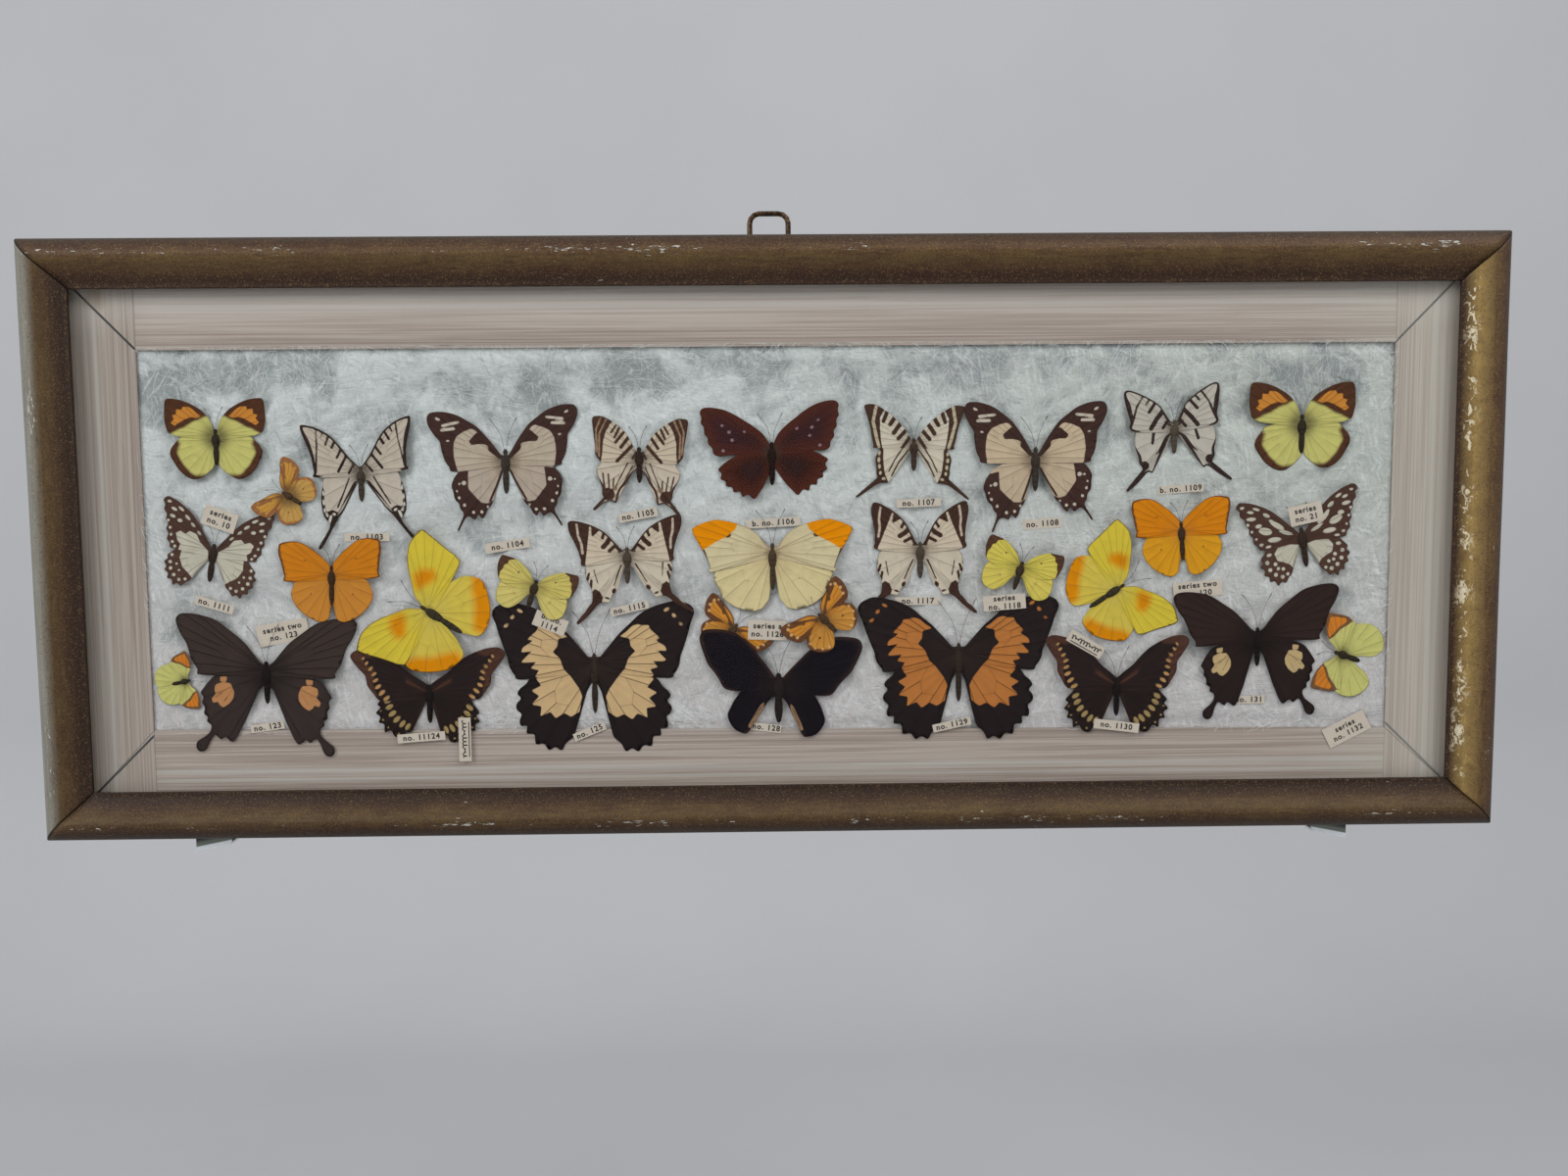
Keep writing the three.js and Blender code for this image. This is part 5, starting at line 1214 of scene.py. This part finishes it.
def lathe_body(head, tail, room, stout):
    """Head, neck, thorax and tapering abdomen on one axis, as rings whose radius follows their place along
    it, pressed flat enough to leave the glass clear, with the hair standing as a fine ripple."""
    stops = np.array([1, 0.985, 0.94, 0.90, 0.865, 0.83, 0.74, 0.64, 0.54, 0.49, 0.40, 0.26, 0.13, 0.04, 0])
    radii = np.array([0.02, 0.7, 1.15, 1.1, 0.85, 1.5, 2.25, 2.3, 1.75, 1.25, 1.5, 1.55, 1.3, 0.8, 0.02])
    t = np.linspace(1, 0, 46)
    radius = np.interp(t, stops[::-1], radii[::-1])[:, None] * stout * (0.8 + 0.0135 * (head - tail))
    angle = np.linspace(0, 2 * math.pi, 24, endpoint=False)[None, :]
    z = (tail + (head - tail) * t)[:, None]
    ripple = 1 + 0.05 * np.sin(angle * 7 + z * 3.1) * np.sin(z * 2.3 + angle * 3)
    x = radius * ripple * np.cos(angle)
    y = min(0.62, room / (1.05 * radius.max())) * radius * ripple * np.sin(angle)
    points = np.stack([x, y, np.broadcast_to(z, x.shape)], axis=-1).reshape(-1, 3)
    index = np.arange(len(points)).reshape(x.shape)
    facts = {name: np.zeros(len(points)) for name in FACT_NAMES}
    facts["around"] = np.broadcast_to(-z, x.shape).ravel()
    facts["edge"] = (facts["around"] > 2).astype(float)
    return points, [grid_faces(*x.shape)[:, BACKWARD], index[:1], index[-1:, ::-1]], facts


def feeler(start, bend, tip):
    """A bristle 0.22 mm thick with a small club, carried on a curve through three points, six sides round."""
    line = through([start, bend, tip], 16)
    t = np.linspace(0, 1, 16)[:, None]
    radius = 0.11 * (1 + 1.4 * np.exp(-((t - 0.95) / 0.07) ** 2)) * np.where(t == 1, 0.3, 1)
    along = np.gradient(line, axis=0)
    along /= np.linalg.norm(along, axis=1)[:, None]
    side = np.cross(along, [0, 1, 0])
    angle = np.linspace(0, 2 * math.pi, 6, endpoint=False)
    ring = side[:, None] * np.cos(angle)[:, None] + np.array([0, 1, 0]) * np.sin(angle)[:, None]
    points = (line[:, None] + ring * radius[..., None]).reshape(-1, 3)
    index = np.arange(len(points)).reshape(16, 6)
    facts = {name: np.zeros(len(points)) for name in FACT_NAMES}
    return points, [grid_faces(16, 6), index[:1, ::-1], index[-1:]], facts


def joined(parts):
    """Several skins as one: all their points, and their groups of faces renumbered to suit."""
    starts = np.cumsum([0] + [len(part[0]) for part in parts])
    groups = [faces + start for part, start in zip(parts, starts) for faces in part[1]]
    return np.concatenate([part[0] for part in parts]), groups


def kind_wings(kind):
    """Both right wings of a kind, with its marks sorted by wing and layer."""
    made = {}
    for side, root, first, last, neck in (("fore", (0.4, 1.2), kind["tip"] - 0.14, 0.72, None),
                                          ("hind", (0.4, -1.5), 0.2, 0.82, kind.get("neck"))):
        marks = {layer: kind["marks"].get(f"{side}_{layer}", []) for layer in MARK_NAMES}
        made[side] = wing(kind[side], root, first, last, VEINS, marks, neck)
    return made


wings_of = {name: kind_wings(kind) for name, kind in KINDS.items()}
scales = {}
for name, (kind_name, x, z, heading, scale, layer, *swings) in SPECIMENS.items():
    kind = {**KINDS[kind_name], **SPECIMEN_TINTS.get(name, {})}
    finish = name if name in SPECIMEN_TINTS else kind_name
    if finish not in scales:
        scales[finish] = (scaled_wing(finish, kind), furred_body(finish, kind["body"]))
    left_fore, left_hind, right_fore, right_hind = swings
    made = wings_of[kind_name]
    depth = LAYER_FRONT - LAYER_STEP * layer
    head, reach = kind["head"], 0.42 * kind["fore"][:, 0].max()
    feelers = [feeler((side * 0.4, -0.3, head - 0.6), (side * bend * reach, -0.4, head + 0.5 * reach),
                      (side * wide * reach, -0.3, head + high * reach))
               for side, bend, wide, high in ((-1, 0.16, 0.5, 1), (1, 0.14, 0.4, 1.04))]
    parts = [skin_of(made["hind"], -1, left_hind, 0), skin_of(made["hind"], 1, right_hind, 0),
             skin_of(made["fore"], -1, left_fore, 1), skin_of(made["fore"], 1, right_fore, 1),
             lathe_body(head, kind["tail"], depth - GLASS_BACK - GLASS_GAP, kind.get("stout", 1)), *feelers]
    points, groups = joined(parts)
    mesh = mesh_of(name, turned(points * [scale, 1, scale], heading) + [x, depth, z], groups)
    skins = np.repeat([0, 0, 0, 0, 1, 2, 2], [sum(len(faces) for faces in part[1]) for part in parts])
    mesh.polygons.foreach_set("material_index", skins.astype(np.int32))
    for fact in FACT_NAMES:
        store = mesh.attributes.new(fact, "FLOAT", "POINT")
        store.data.foreach_set("value", np.concatenate([part[2][fact] for part in parts]).astype(np.float32))
    piece = add_object(name + "_set", mesh, *scales[finish], feeler_coat.material)
    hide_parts(name)
    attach(piece, "case")


# ---- Labels ----
# Slips of thin paper cut by hand, yellowed and a little curled, that carry a typed specimen number.
# Two are lettered with a pen and underlined. Thirteen lie clear; the others are tucked over or under wings.
ON_COTTON, ON_MAT, INK_LIFT = -15.43, -15.63, -0.09
TYPE_SIZE, LINE_STEP = 4.3, 4.6


def over_layer(layer):
    return LAYER_FRONT - LAYER_STEP * layer - 0.5


def lifted(along, up, width, curl):
    """How far the paper stands off what it lies on: its ends lift by curl, and it is a little wavy."""
    return -curl * (abs(along) * 2 / width) ** 3 - 0.03 * np.sin(along * 0.9 + up * 0.5)


def slip_grid(width, height, curl):
    """Paper 0.12 mm thick, as rings round the strip's narrow section."""
    along = np.linspace(-width / 2, width / 2, 17)[:, None]
    up = np.linspace(-height / 2, height / 2, 6)
    up, depth = np.concatenate([up, up[::-1]])[None, :], np.repeat([-0.06, 0.06], 6)[None, :]
    ragged = 0.12 * np.sin(along * 1.7 + width)
    stand = depth + lifted(along, up, width, curl)
    return np.stack([along + 0 * up, stand, up * (1 + ragged / height)], axis=-1)


def typed(line, size, rise):
    """Letters of one line as flat faces, centred, facing the glass."""
    curve = bpy.data.curves.new("type", "FONT")
    curve.body, curve.size, curve.space_character, curve.offset = line, size, 1.2, 0.15
    curve.align_x, curve.align_y, curve.resolution_u = "CENTER", "CENTER", 4
    mesh = bpy.data.meshes.new_from_object(bpy.data.objects.new("type", curve))
    points = np.empty(len(mesh.vertices) * 3, np.float32)
    mesh.vertices.foreach_get("co", points)
    x, z, _ = points.reshape(-1, 3).T
    faces = [np.array([face.vertices[:]]) for face in mesh.polygons]
    return np.stack([x, 0 * x + INK_LIFT, z + rise], axis=1), faces


def penned(width, height):
    """A line of joined pen loops and an underline: x = 0.84 w (t - 1/2) + sin(64 t) / 2, and z follows
    cos(64 t) by a height that rises and falls along the line."""
    t = np.linspace(0, 1, 150)
    tall = 0.5 + 0.5 * np.sin(t * 19 + 1) * np.sin(t * 7)
    stroke = np.stack([(t - 0.5) * width * 0.84 + 0.5 * np.sin(t * 64),
                       0.2 + height * 0.25 * tall * np.cos(t * 64)], axis=1)
    under = np.stack([np.linspace(-0.4, 0.4, 24) * width, np.full(24, -height * 0.34)], axis=1)
    ribbons = []
    for line, half in ((stroke, 0.33), (under, 0.28)):
        way = np.gradient(line, axis=0)
        way /= np.linalg.norm(way, axis=1)[:, None]
        across = np.stack([way[:, 1], -way[:, 0]], axis=1) * half
        x, z = np.stack([line - across, line + across], axis=1).reshape(-1, 2).T
        ribbons.append((np.stack([x, 0 * x + INK_LIFT, z], axis=1), [grid_faces(len(line), 2, wrap=False)]))
    return joined(ribbons)


slip_paper = Paint("yellowed_paper", roughness=0.85)
pulp = slip_paper.noise(1.4, 4, (3, 3, 1))
aged = slip_paper.noise(14, 3)
tone = slip_paper.mix(aged, linear(188, 174, 158), linear(194, 184, 170))
tone = slip_paper.mix(pulp.above(0.5, 0.3) * 0.35, tone, linear(176, 156, 138))
tone = slip_paper.mix(slip_paper.noise(0.8).above(0.72, 0.08) * 0.4, tone, linear(150, 118, 90))
slip_paper.set(Base_Color=tone)
slip_paper.bump(pulp, 0.08)
ribbon_ink = Paint("ribbon_ink", roughness=0.8)
struck = ribbon_ink.noise(0.5, 3).above(0.4, 0.3)
ribbon_ink.set(Base_Color=ribbon_ink.mix(struck, linear(34, 29, 29), linear(18, 16, 17)))
ribbon_ink.bump(ribbon_ink.noise(0.3), 0.02)

# Centre x and z, width, height, tilt anticlockwise, depth, and the lines of type; none means pen.
LYING_CLEAR = [
    (-226.9, 2.7, 25, 4.5, 0, ON_COTTON, ["no. 1103"]), (-148.5, -2.7, 25, 5.5, 8, ON_COTTON, ["no. 1104"]),
    (-75, 13.8, 22, 5, 10, ON_COTTON, ["no. 1105"]), (0.8, 8.8, 31, 5, 3, ON_COTTON, ["b. no. 1106"]),
    (82.7, 19.2, 25, 4.5, 2, ON_COTTON, ["no. 1107"]), (152.7, 6.9, 22, 5.5, 4, ON_COTTON, ["no. 1108"]),
    (230.8, 25.8, 26, 4.5, 4, ON_COTTON, ["b. no. 1109"]),
    (-313.5, -34.6, 22, 5, -17, ON_COTTON, ["no. 1111"]),
    (-80.8, -38.8, 22, 4.5, 12, ON_COTTON, ["no. 1115"]), (-286.5, -104.2, 19, 4.5, 8, ON_MAT, ["no. 123"]),
    (82.3, -36.2, 26, 4.5, 0, ON_COTTON, ["no. 1117"]), (271.9, -94.6, 18, 4.5, 0, ON_COTTON, ["no. 131"]),
    (328.5, -112.3, 26, 12, 27, ON_MAT, ["series", "no. 1132"])]
TUCKED_IN = [
    (-308.1, 13.5, 19, 11, -20, over_layer(0), ["series", "no. 10"]),
    (301.9, 11.2, 19, 11, 12, over_layer(0), ["series", "no. 21"]),
    (-275.8, -50.4, 29, 12, 10, ON_COTTON, ["series two", "no. 123"]),
    (131.2, -37.3, 24, 8.5, 4, over_layer(1), ["series", "no. 1118"]),
    (241.5, -31, 28, 9, 5, ON_COTTON, ["series two", "no. 120"]),
    (-125.4, -46.5, 19, 9, -22, over_layer(0), ["b. no.", "1114"]),
    (-3, -51.9, 22, 11, -2, over_layer(0), ["series a", "no. 1126"]),
    (177.3, -61.5, 22, 7, -30, over_layer(2), []), (-199.6, -110.8, 27, 5, 4, over_layer(1), ["no. 11124"]),
    (-175, -112.3, 25, 7, 90, over_layer(1) - 0.3, []), (-4.2, -107.7, 17, 4.5, -7, ON_MAT, ["no. 128"]),
    (101.5, -106.9, 22, 4.5, 12, over_layer(1), ["no. 1129"]),
    (-104.6, -108.8, 19, 4.5, 22, over_layer(0), ["no. 125"]),
    (195.4, -108.5, 26, 5.5, -7, over_layer(2), ["no. 1130"])]
for number, (x, z, width, height, tilt, depth, lines) in enumerate(LYING_CLEAR + TUCKED_IN, start=1):
    name = f"slip_{number:02d}"
    curl = 0.05 + 0.024 * (number * 7 % 5)
    sheet = slip_grid(width, height, curl)
    index = np.arange(sheet.size // 3).reshape(sheet.shape[:2])
    paper_groups = [grid_faces(*index.shape)[:, BACKWARD], index[:1], index[-1:, ::-1]]
    top_line = (len(lines) - 1) / 2
    inked = [typed(line, TYPE_SIZE, (top_line - row) * LINE_STEP) for row, line in enumerate(lines)]
    inked = inked or [penned(width, height)]
    for marks, _ in inked:
        marks[:, 1] += lifted(marks[:, 0], marks[:, 2], width, curl)
    points, groups = joined([(sheet.reshape(-1, 3), paper_groups), *inked])
    mesh = mesh_of(name, turned(points, tilt) + [x, depth, z], groups, smooth=False)
    paper_faces = sum(len(faces) for faces in paper_groups)
    in_ink = np.arange(len(mesh.polygons)) >= paper_faces
    mesh.polygons.foreach_set("material_index", in_ink.astype(np.int32))
    slip = add_object(name, mesh, slip_paper.material, ribbon_ink.material)
    if number <= len(LYING_CLEAR):
        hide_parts(f"label_{number:02d}")
    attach(slip, "case")
